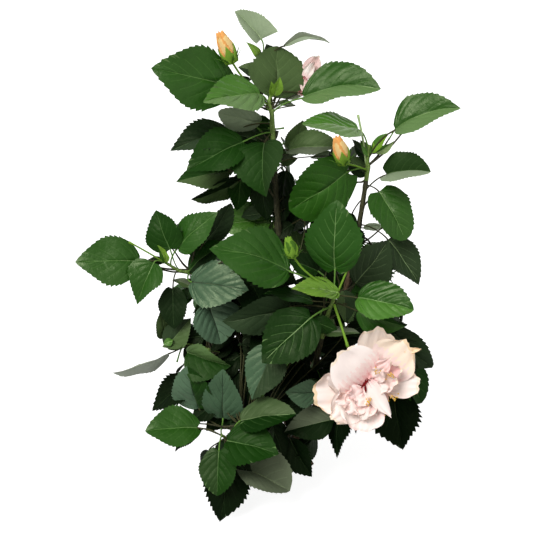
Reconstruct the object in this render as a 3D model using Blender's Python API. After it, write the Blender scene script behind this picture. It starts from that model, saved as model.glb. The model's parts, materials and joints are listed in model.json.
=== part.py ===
"""Hibiscus shrub, built as the solids that carry it: one short woody trunk, the limbs that fork from it,
and the masses of foliage that the limbs end in.

Metres, +Z up. The origin is on the flat cut under the trunk, at ground level, and -Y is the front."""

import math

import bmesh
import bpy
from mathutils import Vector

# Driving sizes, in metres
TRUNK_HEIGHT = 0.060  # from the ground to the top of the fork
TRUNK_RADIUS = 0.0105
FLARE_RADIUS = 0.0170  # at the ground, over the root flare
FLARE_HEIGHT = 0.014
ROOT_RIDGES = 5
TRUNK_SIDES = 20
TRUNK_LEAN = Vector((0.004, -0.002, 0.0))  # how far the fork stands off the foot

LIMB_SIDES = 8
LIMB_STEPS = 9
LIMB_TIP_SHARE = 0.55  # a limb's radius where it enters its mass, beside its radius at the fork

FORK_SPREAD = 0.0075  # how far out from the middle of the fork the side limbs leave it
CLEARANCE = 0.0004  # between a limb and what it leaves or enters
MASS_GAP = 0.0016  # between two masses that meet
SPUR_GROW = 0.0032  # how much larger a mass is when it cuts its neighbours clear of its spurs
MASS_TRIANGLES = 280
GOLDEN_TURN = 137.5  # degrees, the turn from each leaf to the next one up a shoot
RIPPLE_SHARPNESS = 9.0
SPUR_SHARPNESS = 14.0

# Each limb: its parent, how far up the parent it forks, its end, its radius at the fork and how it bends.
# A limb with a rise above 0 climbs before it leans out, and one below 0 leans out before it climbs.
LIMBS = {
    "leader_stem": dict(
        parent="trunk", fork=0.62, end=(-0.034, 0.017, 0.452), radius=0.0054, rise=-0.60,
    ),
    "right_stem": dict(
        parent="trunk", fork=0.66, end=(0.078, 0.004, 0.388), radius=0.0047, rise=-0.55,
    ),
    "centre_stem": dict(
        parent="trunk", fork=0.72, end=(0.032, -0.084, 0.246), radius=0.0042, rise=0.20,
    ),
    "left_stem": dict(
        parent="trunk", fork=0.64, end=(-0.130, -0.026, 0.270), radius=0.0044, rise=0.20,
    ),
    "back_stem": dict(
        parent="trunk", fork=0.70, end=(0.012, 0.092, 0.262), radius=0.0046, rise=0.20,
    ),
    "front_low_stem": dict(
        parent="trunk", fork=0.52, end=(-0.070, -0.092, 0.102), radius=0.0034, rise=0.35,
    ),
    "left_low_stem": dict(
        parent="left_stem", fork=0.38, end=(-0.110, -0.046, 0.178), radius=0.0030, rise=0.20,
    ),
    "right_low_stem": dict(
        parent="right_stem", fork=0.20, end=(0.084, -0.038, 0.152), radius=0.0032, rise=0.20,
    ),
    "front_right_stem": dict(
        parent="centre_stem", fork=0.16, end=(0.025, -0.056, 0.090), radius=0.0027, rise=0.10,
    ),
    "back_left_stem": dict(
        parent="back_stem", fork=0.22, end=(-0.070, 0.074, 0.190), radius=0.0032, rise=0.25,
    ),
    "back_right_stem": dict(
        parent="back_stem", fork=0.30, end=(0.086, 0.084, 0.202), radius=0.0032, rise=0.25,
    ),
    "back_low_stem": dict(
        parent="back_stem", fork=0.12, end=(-0.006, 0.094, 0.112), radius=0.0028, rise=0.10,
    ),
}

# Each mass: its centre, its half sizes, how many leaf lobes ripple it, where their spiral starts, and its
# spurs, the leaves that reach furthest: bearing from +X, rise above level, both in degrees, and reach.
MASSES = {
    "crown_top": dict(
        centre=(-0.034, 0.020, 0.478), half=(0.054, 0.056, 0.040), lobes=7, turn=20,
        spurs=[(188, 6, 0.138), (346, 1, 0.127), (167, 62, 0.093), (24, 29, 0.084), (189, -23, 0.074)],
    ),
    "crown_collar": dict(
        centre=(-0.042, 0.008, 0.394), half=(0.062, 0.066, 0.046), lobes=8, turn=75,
        spurs=[(179, 6, 0.110), (191, -8, 0.094), (168, -18, 0.110), (272, -44, 0.062), (354, 11, 0.080)],
    ),
    "crown_neck": dict(
        centre=(-0.050, 0.012, 0.322), half=(0.048, 0.050, 0.034), lobes=6, turn=140,
        spurs=[(166, 10, 0.080), (8, -22, 0.062)],
    ),
    "right_crown": dict(
        centre=(0.082, 0.000, 0.400), half=(0.044, 0.050, 0.044), lobes=6, turn=120,
        spurs=[(348, 31, 0.115), (194, 28, 0.094), (352, -11, 0.074), (203, -26, 0.112)],
    ),
    "right_middle": dict(
        centre=(0.088, 0.004, 0.302), half=(0.044, 0.056, 0.046), lobes=6, turn=10,
        spurs=[(345, -46, 0.076), (60, 5, 0.074)],
    ),
    "centre_rosette": dict(
        centre=(0.034, -0.098, 0.265), half=(0.054, 0.044, 0.044), lobes=7, turn=40,
        spurs=[(182, 22, 0.146), (74, 70, 0.106), (358, -4, 0.094), (11, -29, 0.094), (197, -41, 0.112)],
    ),
    "left_rosette": dict(
        centre=(-0.150, -0.030, 0.285), half=(0.044, 0.050, 0.040), lobes=6, turn=200,
        spurs=[(190, 0, 0.111), (217, -43, 0.070), (180, 66, 0.064), (14, 46, 0.070)],
    ),
    "left_low": dict(
        centre=(-0.124, -0.046, 0.186), half=(0.044, 0.050, 0.050), lobes=7, turn=150,
        spurs=[(182, -22, 0.106), (188, -56, 0.098), (185, 44, 0.060)],
    ),
    "heart": dict(
        centre=(-0.050, -0.046, 0.206), half=(0.062, 0.060, 0.084), lobes=9, turn=90,
        spurs=[(240, 10, 0.080)],
    ),
    "front_low": dict(
        centre=(-0.088, -0.112, 0.112), half=(0.058, 0.044, 0.050), lobes=7, turn=60,
        spurs=[(197, 2, 0.093), (260, -69, 0.111), (347, -47, 0.109), (8, 4, 0.084), (122, 84, 0.070)],
    ),
    "right_low": dict(
        centre=(0.096, -0.054, 0.172), half=(0.050, 0.062, 0.060), lobes=7, turn=310,
        spurs=[(297, -62, 0.111), (223, 1, 0.106), (253, -35, 0.096), (4, -40, 0.078)],
    ),
    "front_right_low": dict(
        centre=(0.020, -0.060, 0.106), half=(0.050, 0.044, 0.054), lobes=8, turn=250,
        spurs=[(318, -62, 0.066), (252, -74, 0.084), (209, -15, 0.056)],
    ),
    "back_top": dict(
        centre=(0.012, 0.096, 0.292), half=(0.062, 0.056, 0.056), lobes=8, turn=30,
        spurs=[(80, 20, 0.090), (150, 0, 0.080)],
    ),
    "back_left": dict(
        centre=(-0.088, 0.088, 0.212), half=(0.058, 0.056, 0.056), lobes=8, turn=170,
        spurs=[(140, 4, 0.090), (186, -8, 0.078)],
    ),
    "back_right": dict(
        centre=(0.092, 0.092, 0.206), half=(0.050, 0.056, 0.058), lobes=8, turn=340,
        spurs=[(50, 2, 0.082), (80, -24, 0.086)],
    ),
    "back_low": dict(
        centre=(-0.006, 0.112, 0.120), half=(0.070, 0.052, 0.046), lobes=8, turn=220,
        spurs=[(110, -18, 0.082), (30, -30, 0.086), (168, -30, 0.088)],
    ),
}


def material(name, colour, roughness):
    made = bpy.data.materials.new(name)
    made.use_nodes = True
    shader = made.node_tree.nodes["Principled BSDF"]
    shader.inputs["Base Color"].default_value = (*colour, 1.0)
    shader.inputs["Roughness"].default_value = roughness
    shader.inputs["Metallic"].default_value = 0.0
    return made


def add_object(name, mesh, place, parent=None):
    made = bpy.data.objects.new(name, mesh)
    made.location = place
    made.parent = parent
    bpy.context.scene.collection.objects.link(made)
    return made


def add_cutter(name, mesh, place):
    cutter = add_object("cut_" + name, mesh, place)
    cutter.hide_render = True
    cutter.display_type = "WIRE"
    return cutter


def cut_round(obj, cutter):
    cut = obj.modifiers.new("clear_" + cutter.name, "BOOLEAN")
    cut.operation = "DIFFERENCE"
    cut.solver = "EXACT"
    cut.object = cutter


def box_of(obj):
    places = [obj.location + v.co for v in obj.data.vertices]
    return [[pick(p[k] for p in places) for k in range(3)] for pick in (min, max)]


def boxes_meet(one, other):
    a, b = box_of(one), box_of(other)
    return all(max(a[0][k], b[0][k]) < min(a[1][k], b[1][k]) for k in range(3))


def close_rings(bm, rings):
    """Joins rings of vertices, in order, into one tube with flat ends."""
    for low, high in zip(rings, rings[1:]):
        for i in range(len(low)):
            j = (i + 1) % len(low)
            bm.faces.new((low[i], low[j], high[j], high[i]))
    bm.faces.new(tuple(reversed(rings[0])))
    bm.faces.new(tuple(rings[-1]))


def finished_mesh(name, bm, sharp_degrees):
    mesh = bpy.data.meshes.new(name)
    bm.to_mesh(mesh)
    bm.free()
    mesh.shade_smooth()
    mesh.set_sharp_from_angle(angle=math.radians(sharp_degrees))
    return mesh


def trunk_mesh(grow=0.0):
    """The foot: a flat cut at the ground, a ridged root flare, a short neck and the swelling of the fork."""
    heights = (0.0, 0.004, 0.009, FLARE_HEIGHT, 0.024, 0.036, 0.046, 0.054, TRUNK_HEIGHT)
    swell = {0.036: 1.06, 0.046: 1.16, 0.054: 1.02, TRUNK_HEIGHT: 0.55}
    bm = bmesh.new()
    rings = []
    for height in heights:
        flare = max(0.0, 1 - height / FLARE_HEIGHT) ** 1.6
        middle = TRUNK_LEAN * (height / TRUNK_HEIGHT) + Vector((0, 0, height))
        if height == TRUNK_HEIGHT:
            middle.z += grow
        ring = []
        for i in range(TRUNK_SIDES):
            turn = math.tau * i / TRUNK_SIDES
            ridge = 1 + 0.16 * flare * math.cos(ROOT_RIDGES * turn + 0.6)
            radius = TRUNK_RADIUS + (FLARE_RADIUS - TRUNK_RADIUS) * flare
            radius = radius * ridge * swell.get(height, 1.0) + grow
            ring.append(bm.verts.new(middle + Vector((math.cos(turn), math.sin(turn), 0)) * radius))
        rings.append(ring)
    close_rings(bm, rings)
    return finished_mesh("trunk", bm, 50)


def limb_point(name, share):
    """A point on a limb's centre line, from 0 at its fork to 1 at its end."""
    if name == "trunk":
        return TRUNK_LEAN * share + Vector((0, 0, TRUNK_HEIGHT * share))
    limb = LIMBS[name]
    start = limb_point(limb["parent"], limb["fork"])
    end = Vector(limb["end"])
    if limb["parent"] == "trunk" and name != "leader_stem":
        start += Vector((end.x, end.y, 0)).normalized() * FORK_SPREAD
    out = end - start
    level = 0.5 * (1 - limb["rise"])
    control = start + Vector((out.x * level, out.y * level, out.z * 0.55))
    return start * (1 - share) ** 2 + control * 2 * share * (1 - share) + end * share**2


def limb_mesh(name, grow=0.0):
    """One tapering limb, measured from its fork. grow makes it thicker and longer, as its own cutter."""
    limb = LIMBS[name]
    fork = limb_point(name, 0)
    points = [limb_point(name, i / LIMB_STEPS) - fork for i in range(LIMB_STEPS + 1)]
    if grow:
        points.append(points[-1] + (points[-1] - points[-2]).normalized() * grow)
    bm = bmesh.new()
    rings = []
    side = Vector((0, 1, 0))
    for i, point in enumerate(points):
        ahead = (points[min(i + 1, len(points) - 1)] - points[max(i - 1, 0)]).normalized()
        side = (side - ahead * side.dot(ahead)).normalized()
        across = ahead.cross(side)
        share = min(1.0, i / LIMB_STEPS)
        radius = limb["radius"] * (1 - (1 - LIMB_TIP_SHARE) * share) + grow
        ring = []
        for k in range(LIMB_SIDES):
            turn = math.tau * k / LIMB_SIDES
            round_it = side * math.cos(turn) + across * math.sin(turn)
            ring.append(bm.verts.new(point + round_it * radius))
        rings.append(ring)
    close_rings(bm, rings)
    return finished_mesh(name, bm, 50)


def direction(bearing, rise):
    bearing, rise = math.radians(bearing), math.radians(rise)
    return Vector((math.cos(bearing) * math.cos(rise), math.sin(bearing) * math.cos(rise), math.sin(rise)))


def core_reach(mass, ray):
    """How far the core of a mass reaches from its centre along ray: an ellipsoid rippled by its leaf lobes."""
    core = 1 / math.sqrt(sum((ray[k] / mass["half"][k]) ** 2 for k in range(3)))
    ripple = 0.0
    for i in range(mass["lobes"]):
        lobe = direction(mass["turn"] + GOLDEN_TURN * i, 70 - 125 * (i + 0.5) / mass["lobes"])
        ripple = max(ripple, math.exp(-RIPPLE_SHARPNESS * (1 - ray.dot(lobe))))
    return core * (0.86 + 0.30 * ripple)


def spur_reach(mass, ray):
    """How far the spurs of a mass reach along ray: each is a narrow swelling that ends in one leaf tip."""
    inner = min(mass["half"]) * 0.8
    reach = inner
    for bearing, rise, length in mass["spurs"]:
        nearness = math.exp(-SPUR_SHARPNESS * (1 - ray.dot(direction(bearing, rise))))
        reach = max(reach, inner + (length - inner) * nearness)
    return reach


def within_neighbours(name, ray, reach):
    """Shortens reach so that the core stays on its own side of the plane between it and each neighbour."""
    mass = MASSES[name]
    size = sum(mass["half"]) / 3
    for other_name, other in MASSES.items():
        if other_name == name:
            continue
        apart = Vector(other["centre"]) - Vector(mass["centre"])
        other_size = sum(other["half"]) / 3
        plane = (apart.length_squared + size**2 - other_size**2) / (2 * apart.length) - MASS_GAP / 2
        toward = ray.dot(apart.normalized())
        if toward > 1e-6:
            reach = min(reach, plane / toward)
    return reach


def mass_mesh(name, grow=0.0):
    """One closed, uneven mass of leaves, shaped ray by ray from its centre. grow makes it larger all round."""
    mass = MASSES[name]
    bm = bmesh.new()
    bmesh.ops.create_icosphere(bm, subdivisions=4, radius=1.0)
    spurs = [direction(bearing, rise) for bearing, rise, _ in mass["spurs"]]
    at_spur = {min(bm.verts, key=lambda v: (v.co - spur).length): spur for spur in spurs}
    for vertex in bm.verts:
        ray = at_spur.get(vertex, vertex.co).normalized()
        core = within_neighbours(name, ray, core_reach(mass, ray))
        vertex.co = ray * max(core, spur_reach(mass, ray))
    bm.normal_update()
    for vertex in bm.verts:
        vertex.co += vertex.normal * grow
    return finished_mesh(name, bm, 40)


def build_limbs(shrub, bark, young_bark):
    """The trunk and its limbs, each cut clear of its parent. Returns a cutter for every one of them."""
    trunk = add_object("trunk", trunk_mesh(), (0, 0, 0), shrub)
    trunk.data.materials.append(bark)
    cutters = {"trunk": add_cutter("trunk", trunk_mesh(grow=CLEARANCE), (0, 0, 0))}
    for name, limb in LIMBS.items():
        fork = limb_point(name, 0)
        made = add_object(name, limb_mesh(name), fork, shrub)
        made.data.materials.append(young_bark)
        cut_round(made, cutters[limb["parent"]])
        cutters[name] = add_cutter(name, limb_mesh(name, grow=CLEARANCE), fork)
    return cutters


def build_masses(shrub, leaves, cutters):
    """The masses, each cut clear of the limbs that run through it and of the masses made before it."""
    for name, mass in MASSES.items():
        made = add_object(name, mass_mesh(name), mass["centre"], shrub)
        made.data.materials.append(leaves)
        thin = made.modifiers.new("fewer_faces", "DECIMATE")
        thin.ratio = MASS_TRIANGLES / len(made.data.polygons)
        for cutter in cutters.values():
            if boxes_meet(made, cutter):
                cut_round(made, cutter)
        cutters[name] = add_cutter(name, mass_mesh(name, grow=SPUR_GROW), mass["centre"])


def build():
    for obj in list(bpy.data.objects):
        bpy.data.objects.remove(obj)
    bark = material("bark", (0.17, 0.12, 0.08), 0.85)
    young_bark = material("young_bark", (0.07, 0.07, 0.03), 0.60)
    leaves = material("leaves", (0.03, 0.10, 0.02), 0.40)
    shrub = add_object("hibiscus_shrub", None, (0, 0, 0))
    cutters = build_limbs(shrub, bark, young_bark)
    build_masses(shrub, leaves, cutters)


build()
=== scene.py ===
import json
import math
import random

import bpy
import numpy as np
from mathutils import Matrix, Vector, noise
from mathutils.bvhtree import BVHTree

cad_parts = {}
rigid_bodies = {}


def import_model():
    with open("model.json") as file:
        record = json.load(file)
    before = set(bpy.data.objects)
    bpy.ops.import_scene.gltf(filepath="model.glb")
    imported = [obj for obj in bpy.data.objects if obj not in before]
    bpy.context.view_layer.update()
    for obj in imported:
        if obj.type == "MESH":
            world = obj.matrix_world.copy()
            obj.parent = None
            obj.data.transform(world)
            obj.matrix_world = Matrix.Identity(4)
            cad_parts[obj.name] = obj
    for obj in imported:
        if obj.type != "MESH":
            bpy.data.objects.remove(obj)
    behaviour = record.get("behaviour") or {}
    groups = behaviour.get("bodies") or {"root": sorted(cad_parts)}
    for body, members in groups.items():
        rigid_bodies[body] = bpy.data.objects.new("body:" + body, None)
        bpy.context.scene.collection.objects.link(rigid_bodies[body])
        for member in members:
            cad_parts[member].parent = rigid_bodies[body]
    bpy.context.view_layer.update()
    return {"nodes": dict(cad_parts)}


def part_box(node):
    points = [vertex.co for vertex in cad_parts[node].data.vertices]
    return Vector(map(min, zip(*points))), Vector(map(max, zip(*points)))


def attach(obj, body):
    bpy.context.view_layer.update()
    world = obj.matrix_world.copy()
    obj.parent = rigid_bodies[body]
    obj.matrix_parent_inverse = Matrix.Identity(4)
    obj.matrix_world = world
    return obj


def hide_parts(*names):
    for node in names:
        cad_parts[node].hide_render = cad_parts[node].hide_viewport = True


for leftover in list(bpy.data.objects):
    bpy.data.objects.remove(leftover)

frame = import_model()
print("frame loaded,", len(frame["nodes"]), "solids")

# the camera, and the 533 x 533 picture that places written (across, down) are read on
picture = {
    "size": 533,
    "lens": 85.0,
    "sensor": 36.0,
    "distance": 1.5,
    "tilt": 20.0,                      # degrees the camera looks down
    "aim": (-0.040, 0.0, 0.265),
}
tiltCos = math.cos(math.radians(picture["tilt"]))
tiltSin = math.sin(math.radians(picture["tilt"]))
onePixel = picture["sensor"] / picture["lens"] * picture["distance"] / picture["size"]
aim = Vector(picture["aim"])
eye = aim + picture["distance"] * Vector((0, -tiltCos, tiltSin))


def spot(place, depth):
    # the point at that place in the picture, depth metres behind the trunk's foot
    across = (place[0] - picture["size"] / 2) * onePixel
    up = (picture["size"] / 2 - place[1]) * onePixel
    away = (depth - aim.y - up * tiltSin) / (tiltCos + up * tiltSin / picture["distance"])
    grow = 1 + away / picture["distance"]
    return Vector((aim.x + across * grow, depth, aim.z + up * grow * tiltCos - away * tiltSin))


def seenAt(point):
    # (across, down, distance behind the aim) of a point
    d = Vector(point) - aim
    away = d.y * tiltCos - d.z * tiltSin
    up = d.y * tiltSin + d.z * tiltCos
    grow = 1 + away / picture["distance"]
    half = picture["size"] / 2
    return half + d.x / grow / onePixel, half - up / grow / onePixel, away


def linear(paint):
    # an sRGB paint, 0 to 255, as Blender's linear colour
    parts = [c / 255 for c in paint]
    return tuple(c / 12.92 if c <= 0.04045 else ((c + 0.055) / 1.055) ** 2.4 for c in parts) + (1.0,)


def between(first, second, share):
    return tuple(a + (b - a) * share for a, b in zip(first, second))


def newGroup(name, inputs, outputs):
    group = bpy.data.node_groups.new(name, "ShaderNodeTree")
    for label, kind, value in inputs:
        socket = group.interface.new_socket(name=label, in_out="INPUT", socket_type=kind)
        socket.default_value = value
    for label, kind in outputs:
        group.interface.new_socket(name=label, in_out="OUTPUT", socket_type=kind)
    nodes = group.nodes
    return group, nodes.new("NodeGroupInput"), nodes.new("NodeGroupOutput"), nodes, group.links


def setInputs(node, values):
    for label, value in values.items():
        node.inputs[label].default_value = value


def addNode(nodes, kind, values=None):
    node = nodes.new("ShaderNode" + kind)
    setInputs(node, values or {})
    return node


def addColourMix(nodes):
    node = nodes.new("ShaderNodeMix")
    node.data_type = "RGBA"
    return node


def wire(links, *ways):
    # each way is a node with its output, and the node with the input that it feeds
    for source, output, target, entry in ways:
        links.new(source.outputs[output], target.inputs[entry])


def buildWaxPatches():
    # gloss that comes and goes over a leaf, and the fine grain of its skin
    group, given, result, nodes, links = newGroup(
        "waxPatches",
        [("Gloss Low", "NodeSocketFloat", 0.3), ("Gloss High", "NodeSocketFloat", 0.5),
         ("Patch Scale", "NodeSocketFloat", 60.0), ("Grain Scale", "NodeSocketFloat", 900.0),
         ("Wrinkle Scale", "NodeSocketFloat", 190.0)],
        [("Roughness", "NodeSocketFloat"), ("Height", "NodeSocketFloat")])
    place = addNode(nodes, "TexCoord")
    patches = addNode(nodes, "TexNoise", {"Detail": 3})
    spread = addNode(nodes, "MapRange", {"From Min": 0.35, "From Max": 0.65})
    cells = addNode(nodes, "TexVoronoi")
    cells.feature = "SMOOTH_F1"
    puckers = addNode(nodes, "TexNoise", {"Detail": 2})
    mixed = addNode(nodes, "Math", {1: 0.12})      # the share of the cells in the relief
    mixed.operation = "MULTIPLY_ADD"
    wire(links,
         (place, "Object", patches, "Vector"), (given, "Patch Scale", patches, "Scale"),
         (patches, "Fac", spread, "Value"), (given, "Gloss Low", spread, "To Min"),
         (given, "Gloss High", spread, "To Max"), (spread, "Result", result, "Roughness"),
         (place, "Object", cells, "Vector"), (given, "Grain Scale", cells, "Scale"),
         (place, "Object", puckers, "Vector"), (given, "Wrinkle Scale", puckers, "Scale"),
         (cells, "Distance", mixed, 0), (puckers, "Fac", mixed, 2), (mixed, 0, result, "Height"))
    return group


def buildBarkGrain():
    # lengthwise cracks with pale corky dots, as on a young woody stem
    group, given, result, nodes, links = newGroup(
        "barkGrain",
        [("Ground", "NodeSocketColor", (0.1, 0.07, 0.05, 1)),
         ("Ridge", "NodeSocketColor", (0.2, 0.16, 0.12, 1)),
         ("Dot", "NodeSocketColor", (0.4, 0.35, 0.28, 1)), ("Grain Scale", "NodeSocketFloat", 260.0)],
        [("Color", "NodeSocketColor"), ("Height", "NodeSocketFloat"), ("Roughness", "NodeSocketFloat")])
    place = addNode(nodes, "TexCoord")
    stretch = addNode(nodes, "Mapping", {"Scale": (1, 1, 0.22)})
    cracks = addNode(nodes, "TexNoise", {"Detail": 6, "Roughness": 0.62})
    steps = addNode(nodes, "MapRange", {"From Min": 0.38, "From Max": 0.62})
    woody = addColourMix(nodes)
    corks = addNode(nodes, "TexVoronoi", {"Scale": 330})
    small = addNode(nodes, "MapRange", {"From Min": 0.16, "From Max": 0.10})
    dotted = addColourMix(nodes)
    dull = addNode(nodes, "MapRange", {"To Min": 0.85, "To Max": 0.6})
    wire(links,
         (place, "Object", stretch, "Vector"), (stretch, "Vector", cracks, "Vector"),
         (given, "Grain Scale", cracks, "Scale"), (cracks, "Fac", steps, "Value"),
         (steps, "Result", woody, "Factor"), (given, "Ground", woody, "A"), (given, "Ridge", woody, "B"),
         (place, "Object", corks, "Vector"), (corks, "Distance", small, "Value"),
         (small, "Result", dotted, "Factor"), (woody, "Result", dotted, "A"), (given, "Dot", dotted, "B"),
         (dotted, "Result", result, "Color"), (cracks, "Fac", result, "Height"),
         (steps, "Result", dull, "Value"), (dull, "Result", result, "Roughness"))
    return group


waxPatches = buildWaxPatches()
barkGrain = buildBarkGrain()


def newFinish(name, values):
    finish = bpy.data.materials.new(name)
    finish.use_nodes = True
    setInputs(finish.node_tree.nodes["Principled BSDF"], values)
    return finish


waxTint = (0.88, 1.0, 0.62, 1)     # highlights on leaves and petals lean to yellow-green


def useGroup(finish, group, values, relief, depth):
    # the group gives the shader its roughness and, depth metres deep, its relief
    nodes, links = finish.node_tree.nodes, finish.node_tree.links
    shader = nodes["Principled BSDF"]
    skin = nodes.new("ShaderNodeGroup")
    skin.node_tree = group
    setInputs(skin, values)
    bump = addNode(nodes, "Bump", {"Strength": relief, "Distance": depth})
    wire(links, (skin, "Roughness", shader, "Roughness"), (skin, "Height", bump, "Height"),
         (bump, "Normal", shader, "Normal"))
    return skin


def waxyFinish(name, paint, gloss=(0.34, 0.54), relief=0.5, patch=60.0, grain=900.0, specular=0.22):
    finish = newFinish(name, {"Base Color": linear(paint), "Specular IOR Level": specular,
                              "Specular Tint": waxTint})
    useGroup(finish, waxPatches, {"Gloss Low": gloss[0], "Gloss High": gloss[1], "Patch Scale": patch,
                                  "Grain Scale": grain}, relief, 0.0012)
    return finish


def barkFinish(name, ground, ridge, dot, grain=260.0, relief=0.5):
    finish = newFinish(name, {"Specular IOR Level": 0.35})
    wood = useGroup(finish, barkGrain, {"Ground": linear(ground), "Ridge": linear(ridge),
                                        "Dot": linear(dot), "Grain Scale": grain}, relief, 0.001)
    shader = finish.node_tree.nodes["Principled BSDF"]
    wire(finish.node_tree.links, (wood, "Color", shader, "Base Color"))
    return finish


# the leaf greens: paint, how far the veins turn pale (below zero they turn dark), which underside goes with
# it, and how much it shines; several are painted sheen and others painted shade, as marked below
leafTones = {
    "mid": ((33, 77, 13), 0.20, "underGreen", 0.45),
    "soft": ((36, 79, 16), 0.22, "underGreen", 0.50),
    "deep": ((23, 58, 11), 0.20, "underGreen", 0.16),
    "veined": ((33, 77, 17), 0.36, "underGreen", 0.34),
    # painted shade: the veined green darkened for a leaf that lies in less light
    "veinedShade": ((15, 46, 7), 0.42, "underGreen", 0.14),
    "moss": ((36, 62, 25), 0.16, "underDark", 0.22),
    "fresh": ((100, 138, 46), 0.45, "underYoung", 0.40),
    # painted shade: the next two greens are darkened for leaves that lie in shade
    "dark": ((17, 36, 13), 0.12, "underDark", 0.14),
    "night": ((11, 26, 8), 0.10, "underDark", 0.08),
    "slate": ((42, 60, 36), 0.14, "underDark", 0.22),
    "slateVeined": ((40, 58, 33), 0.34, "underDark", 0.22),
    "lush": ((40, 86, 17), 0.24, "underGreen", 0.30),
    "dusk": ((76, 98, 56), 0.14, "underDark", 0.18),
    "olive": ((66, 86, 50), 0.14, "underDark", 0.18),
    # painted sheen: the next five greens are greyed and paled by a painted sheen off the wax; the veins of
    # the first two stay dark, painted shade in their hollows
    "gloss": ((66, 94, 68), -0.45, "underDark", 0.45),
    "glossPale": ((86, 114, 88), -0.45, "underDark", 0.45),
    "sheen": ((96, 128, 72), 0.20, "underGreen", 0.45),
    "silverSheen": ((140, 156, 124), 0.16, "underPale", 0.25),
    "ashSheen": ((186, 194, 178), 0.10, "underPale", 0.20),
    "stone": ((100, 110, 86), 0.18, "underPale", 0.20),
    "bright": ((66, 114, 34), 0.30, "underGreen", 0.65),
    "young": ((118, 160, 46), 0.30, "underYoung", 0.60),
    # painted sheen: a young green paled by a painted shine
    "pearlSheen": ((166, 192, 126), 0.20, "underYoung", 0.50),
}
underTones = {
    "underGreen": (84, 112, 62),
    "underDark": (52, 68, 44),
    "underPale": (146, 156, 128),
    "underYoung": (136, 168, 70),
}
veinPale = (176, 200, 140)
# veins of greens with a turn below zero go towards this dark: painted shade in the vein hollows
veinDark = (24, 34, 26)


def leafFinishes():
    made = {}
    for tone, (paint, turn, under, shine) in leafTones.items():
        far = veinPale if turn > 0 else veinDark
        made[tone] = waxyFinish(tone + "Leaf", paint, gloss=(0.44 - 0.22 * shine, 0.60 - 0.22 * shine),
                                relief=0.45 + 0.25 * shine, specular=shine)
        for part, strength in (("Vein", 0.62), ("Rib", 1.6)):
            made[tone + part] = waxyFinish(tone + "Leaf" + part, between(paint, far, strength * abs(turn)),
                                           specular=shine)
    for under, paint in underTones.items():
        made[under] = waxyFinish(under + "Leaf", paint, gloss=(0.55, 0.7), relief=0.2)
        made[under + "Vein"] = waxyFinish(under + "LeafVein", between(paint, veinPale, 0.4),
                                          gloss=(0.5, 0.65), relief=0.1)
    return made


finishes = leafFinishes()
finishes["petioleGreen"] = waxyFinish("petioleGreen", (96, 136, 58), gloss=(0.4, 0.55), relief=0.1)
finishes["petioleDark"] = waxyFinish("petioleDark", (62, 62, 38), gloss=(0.42, 0.6), relief=0.15)
finishes["youngStem"] = barkFinish("youngStem", (82, 108, 44), (130, 158, 78), (168, 186, 124),
                                   grain=420, relief=0.3)
finishes["ripeStem"] = barkFinish("ripeStem", (44, 42, 28), (74, 74, 46), (110, 104, 76),
                                  grain=420, relief=0.3)
finishes["bark"] = barkFinish("bark", (66, 50, 36), (128, 104, 78), (160, 142, 112))
finishes["calyx"] = waxyFinish("calyx", (118, 158, 52), gloss=(0.42, 0.6), relief=0.2)
finishes["calyxDark"] = waxyFinish("calyxDark", (72, 112, 34), gloss=(0.42, 0.6), relief=0.2)
petalPaints = {
    "petalCream": (255, 240, 233),
    "petalFaint": (253, 229, 222),
    "petalBlush": (250, 219, 214),
    "petalPink": (245, 200, 197),
    "petalPeach": (254, 235, 214),
    "petalGold": (247, 219, 182),
    "petalShade": (247, 231, 218),
    "petalRose": (233, 174, 170),
    "petalThroat": (112, 10, 22),
    "budOrange": (238, 172, 98),
    "budCream": (246, 210, 142),
}
for petalName, petalPaint in petalPaints.items():
    finishes[petalName] = waxyFinish(petalName, petalPaint, gloss=(0.55, 0.75), relief=0.2, patch=160,
                                     grain=520, specular=0.12)
finishes["anther"] = waxyFinish("anther", (240, 194, 78), gloss=(0.6, 0.8), relief=0.5, patch=600)
finishes["filament"] = waxyFinish("filament", (246, 214, 190), gloss=(0.5, 0.6))
print("finishes mixed:", len(finishes))


class Pile:
    # vertices and faces gathered for one joined piece
    def __init__(self, name):
        self.name = name
        self.points = []
        self.faces = []
        self.slots = []
        self.sharp = []
        self.names = []
        self.count = 0

    def slotOf(self, finish):
        if finish not in self.names:
            self.names.append(finish)
        return self.names.index(finish)

    def add(self, points, faces, finish, sharp=None):
        # faces is a list of index tuples; finish is one name or one for each face
        self.points.append(np.asarray(points, np.float32))
        self.faces.extend([tuple(i + self.count for i in face) for face in faces])
        if isinstance(finish, str):
            finish = [finish] * len(faces)
        self.slots.extend([self.slotOf(f) for f in finish])
        self.sharp.append(np.zeros(len(points), bool) if sharp is None else np.asarray(sharp, bool))
        self.count += len(points)

    def build(self):
        mesh = bpy.data.meshes.new(self.name)
        points = np.concatenate(self.points)
        mesh.from_pydata(points.tolist(), [], self.faces)
        for finish in self.names:
            mesh.materials.append(finishes[finish])
        mesh.polygons.foreach_set("material_index", np.array(self.slots, np.int32))
        mesh.polygons.foreach_set("use_smooth", np.ones(len(self.faces), bool))
        edges = np.empty(len(mesh.edges) * 2, np.int32)
        mesh.edges.foreach_get("vertices", edges)
        edges = edges.reshape(-1, 2)
        rim = np.concatenate(self.sharp)
        crease = mesh.attributes.new("sharp_edge", "BOOLEAN", "EDGE")
        crease.data.foreach_set("value", rim[edges[:, 0]] & rim[edges[:, 1]])
        mesh.update()
        made = bpy.data.objects.new(self.name, mesh)
        bpy.context.scene.collection.objects.link(made)
        triangles = sum(len(face) - 2 for face in self.faces)
        print(self.name, "has", triangles, "triangles")
        return made


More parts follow.
